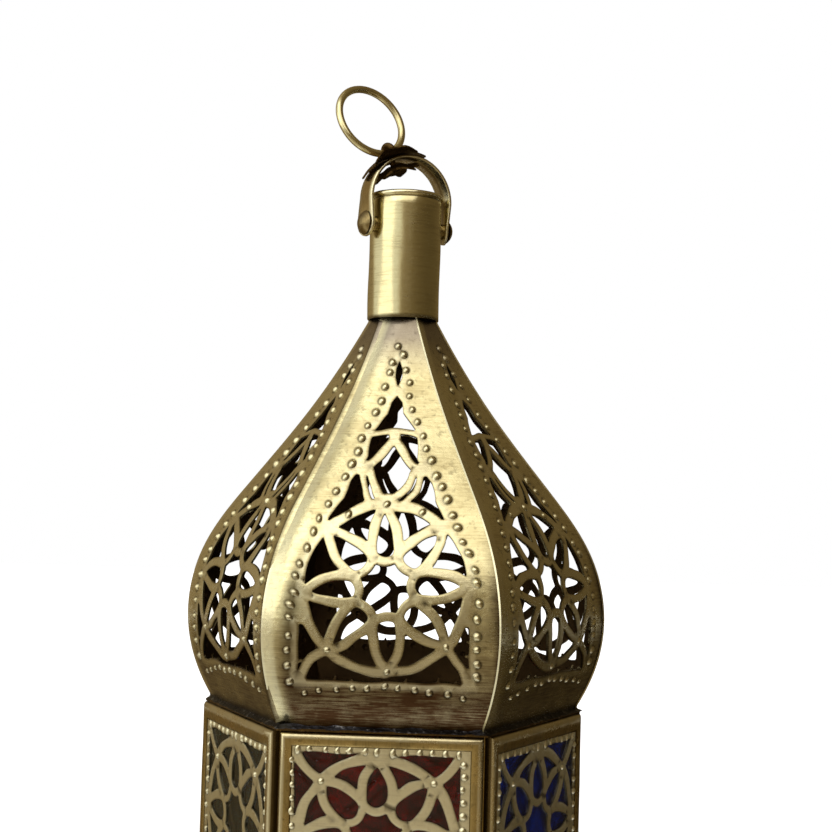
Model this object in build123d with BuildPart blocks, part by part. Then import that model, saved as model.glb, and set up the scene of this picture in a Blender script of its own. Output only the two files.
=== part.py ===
from build123d import *
import os
from math import copysign, cos, radians, sin, sqrt, tan

# Six-sided ramadan lantern in antiqued sheet brass, in millimetres, +Z up.
# The origin is the middle of the underside of the plinth. The door faces -Y.

# The six faces, counted anticlockwise from the front when seen from above.
face_names = ["front", "right_front", "right_back", "back", "left_back", "left_front"]
door_face = 0
hinge_face = 5
half_angle = 180 / len(face_names)

# Stock and fits
sheet = 0.8                    # brass sheet of the dome, the tray, the plinth and the tube
pin_gap = 0.05                 # radial gap of a pin or rivet in its hole
side_gap = 0.1                 # gap beside a piece that turns on a pin
swing_gap = 0.3                # gap between pieces that move past each other
wall_round_share = 0.9         # most of a wall's thickness that a rounded edge may take
head_round_share = 0.6         # part of a rivet head's height that is rounded off

# Plinth and tray
foot_corner_radius = 98.0
foot_width = 5.0
foot_height = 3.0
skirt_height = 21.0
skirt_foot_inset = 1.0         # skirt in from the edge of the foot rim, at a corner
skirt_top_inset = 2.0          # skirt in under the edge of the tray, at a corner
tray_rim_height = 11.0

# Hexagonal body and the channel frames round its panes
body_corner_radius = 86.0
panel_height = 148.0
corner_gap = 2.5               # from the end of a frame to the corner of the hexagon, along the face
channel_width = 5.2
channel_wall = 0.6
channel_round = 0.5
fret_sheet = 0.7
glass_thickness = 1.8
pane_gap = 0.1                 # play of fret and glass in the channel, through the thickness
pane_edge_gap = 0.4            # play of fret and glass in the channel, along the face
post_leg = 8.0                 # leg of the angle strip behind each corner
shoulder_thickness = 1.0
shoulder_corner_inset = 2.0
shoulder_ledge = 20.0          # from the body's corner in to the corner of the opening under the dome

# Fretwork
petals = 8
rosettes_per_panel = 2
ring_strip = 4.0
petal_strip = 3.8
scallop_strip = 3.4
junction_share = 0.49          # place where two petals meet, as a share of the rosette's radius
scallop_share = 0.35           # place of the round inner end of a petal, likewise
petal_bow = 2.1                # how far the side of a petal bows out
node_radius = 2.9
junction_radius = 2.2
fret_margin = 2.4              # plain edge of a pane's fret between the channel and the window
ring_bite = 0.6                # how far a rosette's circle runs into that plain edge

# Onion dome: how far its face stands out from its foot or draws in, and the height above the foot
dome_setback = 3.5             # foot of the dome in from the face of the body
dome_foot_lip = 1.5
belly_swell = 10.1
belly_height = 40.5
shoulder_swell = 4.4
shoulder_height = 69.0
waist_draw = 12.1
waist_height = 97.0
throat_draw = 36.1
throat_height = 132.5
neck_height = 172.5
neck_tab = 8.0                 # upright end of a dome panel inside the tube
neck_gap = 0.1
lining_steps = 12              # points that carry the outer profile to the inner side of the sheet

# Window of a dome panel, seen square to the face; the rises start at the top of the rosette's circle
dome_rosette_margin = 11.5     # from the rosette's circle out to the body's corner, along the face
dome_rosette_height = 56.3     # middle of the rosette above the dome's foot
window_side_margin = 1.0       # side of the window out from the rosette's circle
window_foot_margin = 5.5       # foot of the window down from the rosette's circle
window_side_drop = 14.3        # where the straight side of the window starts below the middle
kite_shoulder_half_width = 15.0
kite_shoulder_rise = 13.5
kite_neck_half_width = 9.5
kite_neck_rise = 32.0
kite_apex_rise = 47.9
knot_half_width = 11.5
knot_rise = 16.8
knot_radius = 3.2
crown_rise = 29.0
leaf_strip = 2.6
leaf_bow = 2.6
bar_strip = 2.8
slit_gap = 5.0                 # sheet between the kite and the slim leaf above it
slit_length = 12.0
slit_half_width = 1.6

# Chimney tube
tube_radius = 16.2
tube_length = 57.3
rim_bead_radius = 1.3

# Bail
bail_heading = 30.0            # direction of the bail's pivot axis, from +X
bail_drop = 14.5               # pivot below the top of the tube
bail_width = 12.0
bail_thickness = 1.5
bail_leg = 12.0
spacer_length = 2.8
spacer_radius = 3.6
rivet_radius = 2.0
rivet_head_radius = 5.5
rivet_head_height = 3.0
clinch_radius = 3.2
clinch_height = 1.2

# Swivel eye with its rosettes, and the hanging ring
pin_lean = 24.0                # pin off the crown of the arch
eye_heading = 165.5            # turn of the eye about the pin
pin_radius = 1.4
star_points = 8
star_radius = 15.5
star_waist_radius = 10.2
star_thickness = 0.7
collar_radius = 6.5
collar_thickness = 1.0
pin_head_radius = 2.8
pin_head_height = 1.4
pin_flare = 45.0               # slope of the pin's flush end in the star
eye_wire_radius = 1.2
eye_hole_radius = 2.2
ring_radius = 16.6
ring_wire_radius = 1.65
ring_lean = 15.0               # lean of the ring off the pin

# Door hinges and catch
knuckle_radius = 1.7
knuckle_height = 6.0
knuckle_tab = 1.2
knuckles_per_hinge = 3
hinge_pin_radius = 0.9
hinge_pin_head_radius = 1.5
hinge_pin_head_height = 1.0
hinge_inset = 52.0             # middle of a hinge from the top or bottom of the panels
catch_width = 6.0
catch_reach = 7.0
catch_thickness = 1.0
catch_height = 5.5             # pivot above the bottom of the tray
catch_pin_radius = 1.5
catch_washer_radius = 2.6
catch_head_radius = 2.9
catch_head_height = 1.4

# Candle holder
pan_radius = 26.0
pan_rim = 4.0
cup_bore_radius = 11.5
cup_height = 22.0
cup_rivet_radius = 1.5
cup_rivet_head_radius = 3.0
cup_rivet_head_height = 1.2
cup_rivet_flare = 45.0         # slope of the flush end in the floor of the cup

# Levels
tray_bottom = foot_height + skirt_height
tray_floor = tray_bottom + sheet
panel_bottom = tray_bottom + tray_rim_height
panel_top = panel_bottom + panel_height
dome_foot = panel_top + shoulder_thickness
tube_bottom = dome_foot + neck_height
tube_top = tube_bottom + tube_length
pivot_level = tube_top - bail_drop

# Plan sizes that follow
body_apothem = body_corner_radius * cos(radians(half_angle))
face_half_width = body_corner_radius * sin(radians(half_angle))
panel_width = 2 * (face_half_width - corner_gap)
layer_gap = pane_gap / 3       # before the fret, between fret and glass, and behind the glass
slot_depth = fret_sheet + glass_thickness + pane_gap
channel_depth = slot_depth + 2 * channel_wall
post_apothem = body_apothem - channel_depth
tube_bore_radius = tube_radius - sheet
neck_apothem = (tube_bore_radius - neck_gap) * cos(radians(half_angle))
shoulder_opening_corner_radius = body_corner_radius - shoulder_ledge
dome_foot_apothem = body_apothem - dome_setback
dome_rosette_radius = face_half_width - dome_rosette_margin
window_half_width = dome_rosette_radius + window_side_margin
window_foot_drop = dome_rosette_radius + window_foot_margin
arch_radius = tube_radius + spacer_length + side_gap
arch_outer_radius = arch_radius + bail_thickness


def corner_radius(apothem):
    """Corner radius of a hexagon from its apothem."""
    return apothem / cos(radians(half_angle))


def heading(angle):
    """Level unit vector at an angle from +X."""
    return Vector(cos(radians(angle)), sin(radians(angle)), 0)


def facing(face):
    """Direction in which a face looks, in degrees from +X."""
    return 2 * half_angle * face - 90


def face_plane(face, distance, height):
    """Plane parallel to a face: x along the face, y up, z outward."""
    outward = heading(facing(face))
    return Plane(
        origin=outward * distance + Vector(0, 0, height),
        x_dir=heading(facing(face) + 90),
        z_dir=outward,
    )


def profile_plane(face):
    """Upright plane through the axis and the middle of a face: x outward, y up."""
    outward = heading(facing(face))
    return Plane(origin=(0, 0, 0), x_dir=outward, z_dir=outward.cross(Vector(0, 0, 1)))


def plan_plane(face, height):
    """Level plane turned to a face: x along the face, y inward."""
    return Plane(origin=(0, 0, height), x_dir=heading(facing(face) + 90), z_dir=(0, 0, 1))


def polar(radius, angle, middle):
    """Point of a rosette, the angle measured from upright, the rosette centred at a height."""
    return (radius * sin(radians(angle)), middle + radius * cos(radians(angle)))


def bowed(start, end, bow):
    """Middle of an arc from start to end that bows to the left of its run."""
    run = (end[0] - start[0], end[1] - start[1])
    length = sqrt(run[0] ** 2 + run[1] ** 2)
    return (
        (start[0] + end[0]) / 2 - run[1] / length * bow,
        (start[1] + end[1]) / 2 + run[0] / length * bow,
    )


def petal_angles():
    """Angle of each petal of a rosette."""
    return [360 / petals * step for step in range(petals)]


def petal_sides(radius, middle):
    """Bowed sides of the petals, from the rosette's circle in to the junctions."""
    with BuildLine() as sides:
        for angle in petal_angles():
            tip = polar(radius, angle, middle)
            for side in (-1, 1):
                junction = polar(radius * junction_share, angle + side * 180 / petals, middle)
                ThreePointArc(tip, bowed(tip, junction, side * petal_bow), junction)
    return sides.line


def petal_ends(radius, middle):
    """Round inner ends of the petals, from junction to junction."""
    with BuildLine() as ends:
        for angle in petal_angles():
            ThreePointArc(
                polar(radius * junction_share, angle - 180 / petals, middle),
                polar(radius * scallop_share, angle, middle),
                polar(radius * junction_share, angle + 180 / petals, middle),
            )
    return ends.line


def rosette_circle(radius, middle):
    """Circle that the petals stand on."""
    with BuildLine() as circle:
        with Locations((0, middle)):
            CenterArc((0, 0), radius, 0, 360)
    return circle.line


def petal_tips(radius, middle):
    """Crossings where the petals meet the rosette's circle."""
    return [polar(radius, angle, middle) for angle in petal_angles()]


def petal_junctions(radius, middle):
    """Crossings where two petals meet."""
    return [polar(radius * junction_share, angle + 180 / petals, middle) for angle in petal_angles()]


def corner_ties(radius, middle, half_width, half_height):
    """Straight strips from a rosette's circle to the four corners of its cell."""
    with BuildLine() as ties:
        for angle in (45, 135, 225, 315):
            reach = (sin(radians(angle)), cos(radians(angle)))
            corner = (copysign(half_width, reach[0]), middle + copysign(half_height, reach[1]))
            Line(polar(radius, angle, middle), corner)
    return ties.line


def lay_strips(lines, width, mode=Mode.ADD):
    """Strips of one width along separate lines, in the sketch that is open."""
    for line in lines.edges():
        trace(line, line_width=width, mode=mode)


os.makedirs("parts", exist_ok=True)

# Plinth: a heavy hexagonal foot rim with a flared skirt soldered on it
with BuildPart() as foot_rim:
    with BuildSketch():
        RegularPolygon(foot_corner_radius, len(face_names))
        RegularPolygon(foot_corner_radius - foot_width, len(face_names), mode=Mode.SUBTRACT)
    extrude(amount=foot_height)
foot_rim.part.label = "foot_rim"
export_step(foot_rim.part, "parts/foot_rim.step")

skirt_foot_radius = foot_corner_radius - skirt_foot_inset
skirt_top_radius = body_corner_radius - skirt_top_inset
with BuildPart() as plinth_skirt:
    with BuildSketch(Plane.XY.offset(foot_height)):
        RegularPolygon(skirt_foot_radius, len(face_names))
    with BuildSketch(Plane.XY.offset(tray_bottom)):
        RegularPolygon(skirt_top_radius, len(face_names))
    loft()
    with BuildSketch(Plane.XY.offset(foot_height)):
        RegularPolygon(skirt_foot_radius - corner_radius(sheet), len(face_names))
    with BuildSketch(Plane.XY.offset(tray_bottom)):
        RegularPolygon(skirt_top_radius - corner_radius(sheet), len(face_names))
    loft(mode=Mode.SUBTRACT)
plinth_skirt.part.label = "plinth_skirt"
export_step(plinth_skirt.part, "parts/plinth_skirt.step")

# Tray: the floor of the lantern with its rim turned up; pierced for the candle rivet and the catch
catch_pivot = face_plane(door_face, body_apothem, tray_bottom + catch_height)
with BuildPart() as base_tray:
    with BuildSketch(Plane.XY.offset(tray_bottom)):
        RegularPolygon(body_corner_radius, len(face_names))
    extrude(amount=tray_rim_height)
    with BuildSketch(Plane.XY.offset(tray_floor)):
        RegularPolygon(body_corner_radius - corner_radius(sheet), len(face_names))
    extrude(amount=tray_rim_height, mode=Mode.SUBTRACT)
    with BuildSketch(Plane.XY.offset(tray_bottom)):
        Circle(cup_rivet_radius + pin_gap)
    extrude(amount=sheet, mode=Mode.SUBTRACT)
    with BuildSketch(catch_pivot):
        Circle(catch_pin_radius + pin_gap)
    extrude(amount=-2 * sheet, mode=Mode.SUBTRACT)
base_tray.part.label = "base_tray"
export_step(base_tray.part, "parts/base_tray.step")

# Corner posts: a bent angle strip behind each corner, from the tray to the shoulder plate
post_corner = corner_radius(post_apothem)
post_inner_corner = corner_radius(post_apothem - sheet)
leg_x = post_leg * sin(radians(half_angle))
leg_y = post_leg * cos(radians(half_angle))
skin_x = sheet * cos(radians(half_angle))
skin_y = sheet * sin(radians(half_angle))
with BuildPart() as corner_posts:
    with BuildSketch(Plane.XY.offset(tray_floor)):
        with PolarLocations(0, len(face_names)):
            Polygon(
                (post_corner, 0),
                (post_corner - leg_x, leg_y),
                (post_corner - leg_x - skin_x, leg_y - skin_y),
                (post_inner_corner, 0),
                (post_corner - leg_x - skin_x, skin_y - leg_y),
                (post_corner - leg_x, -leg_y),
                align=None,
            )
    extrude(amount=panel_top - tray_floor)
corner_posts.part.label = "corner_posts"
export_step(corner_posts.part, "parts/corner_posts.step")

# Shoulder plate: the hexagonal ring that closes the body and carries the dome
with BuildPart() as shoulder_plate:
    with BuildSketch(Plane.XY.offset(panel_top)):
        RegularPolygon(body_corner_radius - shoulder_corner_inset, len(face_names))
        RegularPolygon(shoulder_opening_corner_radius, len(face_names), mode=Mode.SUBTRACT)
    extrude(amount=shoulder_thickness)
shoulder_plate.part.label = "shoulder_plate"
export_step(shoulder_plate.part, "parts/shoulder_plate.step")

# Fret of a pane: rosettes one above the other, each tied into the corners of its cell.
# All six are alike, and fit the frame of the door, which is the shortest.
door_height = panel_height - 2 * swing_gap
pane_width = panel_width - 2 * (channel_wall + pane_edge_gap)
pane_height = door_height - 2 * (channel_wall + pane_edge_gap)
cell_half_width = panel_width / 2 - channel_width - fret_margin
window_height = door_height - 2 * (channel_width + fret_margin)
cell_half_height = window_height / 2 / rosettes_per_panel
rosette_radius = cell_half_width - ring_strip / 2 + ring_bite
with BuildSketch() as pane_fret:
    Rectangle(pane_width, pane_height)
    Rectangle(2 * cell_half_width, window_height, mode=Mode.SUBTRACT)
    for cell in range(rosettes_per_panel):
        middle = cell_half_height * (2 * cell + 1) - window_height / 2
        lay_strips(rosette_circle(rosette_radius, middle), ring_strip)
        lay_strips(petal_sides(rosette_radius, middle), petal_strip)
        lay_strips(petal_ends(rosette_radius, middle), scallop_strip)
        lay_strips(corner_ties(rosette_radius, middle, cell_half_width, cell_half_height), petal_strip)
        with Locations(*petal_tips(rosette_radius, middle)):
            Circle(node_radius)
        with Locations(*petal_junctions(rosette_radius, middle)):
            Circle(junction_radius)

# Panes: a channel frame round the pierced fret and a coloured glass, on each face.
# The front one is the door, a little shorter and prouder than the rest so that it swings free.
for face, name in enumerate(face_names):
    ease = swing_gap if face == door_face else 0
    frame_height = panel_height - 2 * ease
    frame_front = face_plane(face, body_apothem + ease, panel_bottom + panel_height / 2)
    fret_front = frame_front.offset(-channel_wall - layer_gap)
    glass_front = fret_front.offset(-fret_sheet - layer_gap)

    with BuildPart() as panel_frame:
        with BuildSketch(frame_front):
            Rectangle(panel_width, frame_height)
            Rectangle(
                panel_width - 2 * channel_width,
                frame_height - 2 * channel_width,
                mode=Mode.SUBTRACT,
            )
        extrude(amount=-channel_depth)
        with BuildSketch(frame_front.offset(-channel_wall)):
            Rectangle(panel_width - 2 * channel_wall, frame_height - 2 * channel_wall)
        extrude(amount=-slot_depth, mode=Mode.SUBTRACT)
        front_skin = panel_frame.faces().sort_by(Axis((0, 0, 0), frame_front.z_dir))[-1]
        fillet(front_skin.edges(), radius=min(channel_round, wall_round_share * channel_wall))
    panel_frame.part.label = "panel_frame_" + name
    export_step(panel_frame.part, "parts/panel_frame_" + name + ".step")

    with BuildPart() as fret_panel:
        with BuildSketch(fret_front):
            add(pane_fret.sketch)
        extrude(amount=-fret_sheet)
    fret_panel.part.label = "fret_panel_" + name
    export_step(fret_panel.part, "parts/fret_panel_" + name + ".step")

    with BuildPart() as glass_pane:
        with BuildSketch(glass_front):
            Rectangle(pane_width, pane_height)
        extrude(amount=-glass_thickness)
    glass_pane.part.label = "glass_pane_" + name
    export_step(glass_pane.part, "parts/glass_pane_" + name + ".step")

# Door hinges: rolled knuckles at the left front corner, the middle one of each three on the door
hinge_levels = [panel_bottom + hinge_inset, panel_top - hinge_inset]
knuckle_pitch = knuckle_height + swing_gap
hinge_height = knuckles_per_hinge * knuckle_pitch - swing_gap
tab_middle = (face_half_width + panel_width / 2) / 2
with BuildPart() as frame_knuckles:
    for level in hinge_levels:
        for step in range(0, knuckles_per_hinge, 2):
            with BuildSketch(plan_plane(hinge_face, level - hinge_height / 2 + step * knuckle_pitch)):
                with Locations((tab_middle, -body_apothem)):
                    Rectangle(corner_gap, knuckle_tab)
                with Locations((face_half_width, -body_apothem)):
                    Circle(knuckle_radius)
                    Circle(hinge_pin_radius + pin_gap, mode=Mode.SUBTRACT)
            extrude(amount=knuckle_height)
frame_knuckles.part.label = "frame_knuckles"
export_step(frame_knuckles.part, "parts/frame_knuckles.step")

with BuildPart() as door_knuckles:
    for level in hinge_levels:
        for step in range(1, knuckles_per_hinge, 2):
            with BuildSketch(plan_plane(door_face, level - hinge_height / 2 + step * knuckle_pitch)):
                with Locations((-tab_middle, -body_apothem)):
                    Rectangle(corner_gap, knuckle_tab)
                with Locations((-face_half_width, -body_apothem)):
                    Circle(knuckle_radius)
                    Circle(hinge_pin_radius + pin_gap, mode=Mode.SUBTRACT)
            extrude(amount=knuckle_height)
door_knuckles.part.label = "door_knuckles"
export_step(door_knuckles.part, "parts/door_knuckles.step")

with BuildPart() as hinge_pins:
    for level in hinge_levels:
        with BuildSketch(plan_plane(door_face, level - hinge_height / 2)):
            with Locations((-face_half_width, -body_apothem)):
                Circle(hinge_pin_radius)
        extrude(amount=hinge_height)
        with BuildSketch(plan_plane(door_face, level + hinge_height / 2)):
            with Locations((-face_half_width, -body_apothem)):
                Circle(hinge_pin_head_radius)
        extrude(amount=hinge_pin_head_height)
hinge_pins.part.label = "hinge_pins"
export_step(hinge_pins.part, "parts/hinge_pins.step")

# Catch: a turn button on the tray's rim, swung up in front of the door's bottom rail to hold it
catch_back = 2 * swing_gap
catch_front = catch_back + catch_thickness
with BuildPart() as turn_button:
    with BuildSketch(catch_pivot.offset(catch_back)):
        with Locations((catch_reach / 2, 0)):
            SlotCenterToCenter(catch_reach, catch_width)
        Circle(catch_pin_radius + pin_gap, mode=Mode.SUBTRACT)
    extrude(amount=catch_thickness)
turn_button.part.label = "turn_button"
export_step(turn_button.part, "parts/turn_button.step")

with BuildPart() as catch_rivet:
    with BuildSketch(catch_pivot.offset(-sheet - catch_head_height)):
        Circle(catch_washer_radius)
    extrude(amount=catch_head_height)
    with BuildSketch(catch_pivot.offset(-sheet)):
        Circle(catch_pin_radius)
    extrude(amount=sheet + catch_front + side_gap)
    with BuildSketch(catch_pivot):
        Circle(catch_washer_radius)
    extrude(amount=catch_back - side_gap)
    with BuildSketch(catch_pivot.offset(catch_front + side_gap)):
        Circle(catch_head_radius)
    extrude(amount=catch_head_height)
    rim_edge = catch_rivet.faces().sort_by(Axis((0, 0, 0), catch_pivot.z_dir))[-1].edges()
    fillet(rim_edge, radius=head_round_share * catch_head_height)
catch_rivet.part.label = "catch_rivet"
export_step(catch_rivet.part, "parts/catch_rivet.step")

# Candle holder: a drip pan and a cup held to the tray by one rivet, flush in the floor of the cup
pan_floor = tray_floor + sheet
cup_floor = pan_floor + sheet
with BuildPart() as drip_pan:
    with BuildSketch(Plane.XY.offset(tray_floor)):
        Circle(pan_radius)
    extrude(amount=pan_rim)
    with BuildSketch(Plane.XY.offset(pan_floor)):
        Circle(pan_radius - sheet)
    extrude(amount=pan_rim, mode=Mode.SUBTRACT)
    with BuildSketch(Plane.XY.offset(tray_floor)):
        Circle(cup_rivet_radius + pin_gap)
    extrude(amount=sheet, mode=Mode.SUBTRACT)
drip_pan.part.label = "drip_pan"
export_step(drip_pan.part, "parts/drip_pan.step")

with BuildPart() as candle_cup:
    with BuildSketch(Plane.XY.offset(pan_floor)):
        Circle(cup_bore_radius + sheet)
    extrude(amount=cup_height)
    with BuildSketch(Plane.XY.offset(cup_floor)):
        Circle(cup_bore_radius)
    extrude(amount=cup_height, mode=Mode.SUBTRACT)
    with BuildSketch(Plane.XY.offset(pan_floor)):
        Circle(cup_rivet_radius + pin_gap)
    extrude(amount=sheet, taper=-cup_rivet_flare, mode=Mode.SUBTRACT)
candle_cup.part.label = "candle_cup"
export_step(candle_cup.part, "parts/candle_cup.step")

with BuildPart() as candle_rivet:
    with BuildSketch(Plane.XY.offset(tray_bottom - cup_rivet_head_height)):
        Circle(cup_rivet_head_radius)
    extrude(amount=cup_rivet_head_height)
    with BuildSketch(Plane.XY.offset(tray_bottom)):
        Circle(cup_rivet_radius)
    extrude(amount=pan_floor - tray_bottom)
    with BuildSketch(Plane.XY.offset(pan_floor)):
        Circle(cup_rivet_radius)
    extrude(amount=sheet, taper=-cup_rivet_flare)
candle_rivet.part.label = "candle_rivet"
export_step(candle_rivet.part, "parts/candle_rivet.step")

# Fret of a dome panel, seen square to the face and measured from the rosette's middle:
# the openings are a round window with a square foot and a kite above it, less the strips.
shoulder_point = polar(dome_rosette_radius + ring_strip / 2, 45, 0)
kite_shoulder = (kite_shoulder_half_width, dome_rosette_radius + kite_shoulder_rise)
kite_neck = (kite_neck_half_width, dome_rosette_radius + kite_neck_rise)
kite_apex = (0, dome_rosette_radius + kite_apex_rise)
crown = (0, dome_rosette_radius + crown_rise)
knots = [(side * knot_half_width, dome_rosette_radius + knot_rise) for side in (-1, 1)]
with BuildLine() as leaves:
    stem = (0, dome_rosette_radius)
    for knot in knots:
        ThreePointArc(stem, bowed(stem, knot, leaf_bow), knot)
        ThreePointArc(stem, bowed(stem, knot, -leaf_bow), knot)
        ThreePointArc(knot, bowed(knot, crown, copysign(leaf_bow / 2, knot[0])), crown)
with BuildLine() as crown_bar:
    Line((-kite_neck[0], kite_neck[1]), kite_neck)
with BuildLine() as foot_ties:
    for side in (-1, 1):
        Line(polar(dome_rosette_radius, 180 + side * 45, 0), (-side * window_half_width, -window_foot_drop))
with BuildSketch() as dome_openings:
    Circle(dome_rosette_radius)
    with Locations((0, -window_side_drop)):
        Rectangle(
            2 * window_half_width,
            window_foot_drop - window_side_drop,
            align=(Align.CENTER, Align.MAX),
        )
    Polygon(
        (0, 0),
        shoulder_point,
        kite_shoulder,
        kite_neck,
        kite_apex,
        (-kite_neck[0], kite_neck[1]),
        (-kite_shoulder[0], kite_shoulder[1]),
        (-shoulder_point[0], shoulder_point[1]),
        align=None,
    )
    lay_strips(rosette_circle(dome_rosette_radius, 0), ring_strip, Mode.SUBTRACT)
    lay_strips(petal_sides(dome_rosette_radius, 0), petal_strip, Mode.SUBTRACT)
    lay_strips(petal_ends(dome_rosette_radius, 0), scallop_strip, Mode.SUBTRACT)
    lay_strips(leaves.line, leaf_strip, Mode.SUBTRACT)
    lay_strips(crown_bar.line, bar_strip, Mode.SUBTRACT)
    lay_strips(foot_ties.line, petal_strip, Mode.SUBTRACT)
    with Locations(*petal_tips(dome_rosette_radius, 0)):
        Circle(node_radius, mode=Mode.SUBTRACT)
    with Locations(*petal_junctions(dome_rosette_radius, 0)):
        Circle(junction_radius, mode=Mode.SUBTRACT)
    with Locations(crown, *knots):
        Circle(knot_radius, mode=Mode.SUBTRACT)
    slit_foot = kite_apex[1] + slit_gap
    slit_middle = slit_foot + slit_length / 2
    with BuildLine():
        ThreePointArc((0, slit_foot), (slit_half_width, slit_middle), (0, slit_foot + slit_length))
        ThreePointArc((0, slit_foot + slit_length), (-slit_half_width, slit_middle), (0, slit_foot))
    make_face()

# One gore of the dome: sheet bent to the onion profile, mitred to its neighbours and pierced.
# It stands on the shoulder plate on an upright lip, and its upright top end sits inside the tube.
belly_apothem = dome_foot_apothem + belly_swell
wedge_reach = 2 * belly_apothem
wedge_half_width = wedge_reach * tan(radians(half_angle))
with BuildPart() as gore:
    with BuildSketch(profile_plane(door_face)):
        with BuildLine():
            lip = Polyline(
                (dome_foot_apothem - sheet, dome_foot + dome_foot_lip),
                (dome_foot_apothem - sheet, dome_foot),
                (dome_foot_apothem, dome_foot),
                (dome_foot_apothem, dome_foot + dome_foot_lip),
            )
            skin = Spline(
                lip @ 1,
                (belly_apothem, dome_foot + belly_height),
                (dome_foot_apothem + shoulder_swell, dome_foot + shoulder_height),
                (dome_foot_apothem - waist_draw, dome_foot + waist_height),
                (dome_foot_apothem - throat_draw, dome_foot + throat_height),
                (neck_apothem, tube_bottom),
            )
            tab = Polyline(
                skin @ 1,
                (neck_apothem, tube_bottom + neck_tab),
                (neck_apothem - sheet, tube_bottom + neck_tab),
                (neck_apothem - sheet, tube_bottom),
            )
            stations = [step / lining_steps for step in range(lining_steps - 1, 0, -1)]
            lining = [skin @ at + (skin % at).rotate(Axis.Z, 90) * sheet for at in stations]
            Spline(tab @ 1, *lining, lip @ 0)
        make_face()
    extrude(amount=wedge_half_width, both=True)
    with BuildSketch(Plane.XY.offset(dome_foot)):
        Polygon(
            (0, 0),
            (-wedge_half_width, -wedge_reach),
            (wedge_half_width, -wedge_reach),
            align=None,
        )
    extrude(amount=neck_height + neck_tab, mode=Mode.INTERSECT)
    with BuildSketch(face_plane(door_face, 0, dome_foot + dome_rosette_height)):
        add(dome_openings.sketch)
    extrude(amount=wedge_reach, mode=Mode.SUBTRACT)

for face, name in enumerate(face_names):
    with BuildPart() as dome_panel:
        with Locations(Rot(0, 0, 2 * half_angle * face)):
            add(gore.part)
    dome_panel.part.label = "dome_panel_" + name
    export_step(dome_panel.part, "parts/dome_panel_" + name + ".step")

# Chimney tube with a rolled bead round its mouth, drilled across for the bail's rivets
pivot_axis = heading(bail_heading)
up = Vector(0, 0, 1)
pivot = Vector(0, 0, pivot_level)
bail_plane = Plane(origin=pivot, x_dir=pivot_axis, z_dir=pivot_axis.cross(up))
across_plane = Plane(origin=pivot, x_dir=up.cross(pivot_axis), z_dir=pivot_axis)
with BuildPart() as chimney_tube:
    with BuildSketch(Plane.XZ):
        with Locations((tube_bore_radius, tube_bottom)):
            Rectangle(sheet, tube_length - rim_bead_radius, align=(Align.MIN, Align.MIN))
        with Locations((tube_radius - sheet / 2, tube_top - rim_bead_radius)):
            Circle(rim_bead_radius)
    revolve(axis=Axis.Z)
    with BuildSketch(across_plane):
        Circle(rivet_radius + pin_gap)
    extrude(amount=2 * tube_radius, both=True, mode=Mode.SUBTRACT)
chimney_tube.part.label = "chimney_tube"
export_step(chimney_tube.part, "parts/chimney_tube.step")

# Bail rivets and the spacers that hold the strap off the tube
with BuildPart() as bail_spacers:
    with BuildSketch(across_plane):
        Circle(spacer_radius)
        Circle(rivet_radius + pin_gap, mode=Mode.SUBTRACT)
    extrude(amount=tube_radius + spacer_length, both=True)
    with BuildSketch(Plane.XY.offset(pivot_level)):
        Circle(tube_radius)
    extrude(amount=2 * spacer_radius, both=True, mode=Mode.SUBTRACT)
bail_spacers.part.label = "bail_spacers"
export_step(bail_spacers.part, "parts/bail_spacers.step")

clinch_face = sqrt(tube_bore_radius ** 2 - clinch_radius ** 2) - pin_gap
head_face = arch_outer_radius + side_gap
with BuildPart() as bail_rivets:
    for side in (0, 180):
        rivet_axis = heading(bail_heading + side)
        with BuildSketch(Plane(origin=pivot, x_dir=rivet_axis, z_dir=rivet_axis.cross(up))):
            with BuildLine():
                outline = Polyline(
                    (head_face + rivet_head_height, 0),
                    (clinch_face - clinch_height, 0),
                    (clinch_face - clinch_height, clinch_radius),
                    (clinch_face, clinch_radius),
                    (clinch_face, rivet_radius),
                    (head_face, rivet_radius),
                    (head_face, rivet_head_radius),
                )
                cap_radius = (rivet_head_radius ** 2 + rivet_head_height ** 2) / (2 * rivet_head_height)
                RadiusArc(outline @ 1, outline @ 0, cap_radius)
            make_face()
        revolve(axis=Axis(pivot, rivet_axis))
bail_rivets.part.label = "bail_rivets"
export_step(bail_rivets.part, "parts/bail_rivets.step")

# Bail: a flat strip bent to an arch over the tube, its ends rounded and drilled for the rivets.
# The pin of the swivel eye goes through it beside the crown.
arch_centre = pivot + up * bail_leg
lean = radians(pin_lean)
pin_axis = up * cos(lean) - pivot_axis * sin(lean)
pin_side = up * sin(lean) + pivot_axis * cos(lean)


def swivel_plane(distance):
    """Plane square to the swivel pin, at a distance from the centre of the arch."""
    return Plane(origin=arch_centre + pin_axis * distance, x_dir=pin_side, z_dir=pin_axis)


with BuildPart() as bail_strap:
    with BuildSketch(bail_plane):
        with BuildLine():
            Line((arch_radius, -bail_width), (arch_radius, bail_leg))
            arch = CenterArc((0, bail_leg), arch_radius, 0, 180)
            Line(arch @ 1, (-arch_radius, -bail_width))
            offset(amount=bail_thickness, side=Side.RIGHT, closed=True)
        make_face()
    extrude(amount=bail_width, both=True)
    with BuildSketch(across_plane):
        Circle(bail_width / 2)
        Rectangle(bail_width, bail_leg + 2 * arch_outer_radius, align=(Align.CENTER, Align.MIN))
    extrude(amount=2 * arch_outer_radius, both=True, mode=Mode.INTERSECT)
    with BuildSketch(across_plane):
        Circle(rivet_radius + pin_gap)
    extrude(amount=2 * arch_outer_radius, both=True, mode=Mode.SUBTRACT)
    with BuildSketch(swivel_plane(0)):
        Circle(pin_radius + pin_gap)
    extrude(amount=2 * arch_outer_radius, mode=Mode.SUBTRACT)
bail_strap.part.label = "bail_strap"
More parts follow.
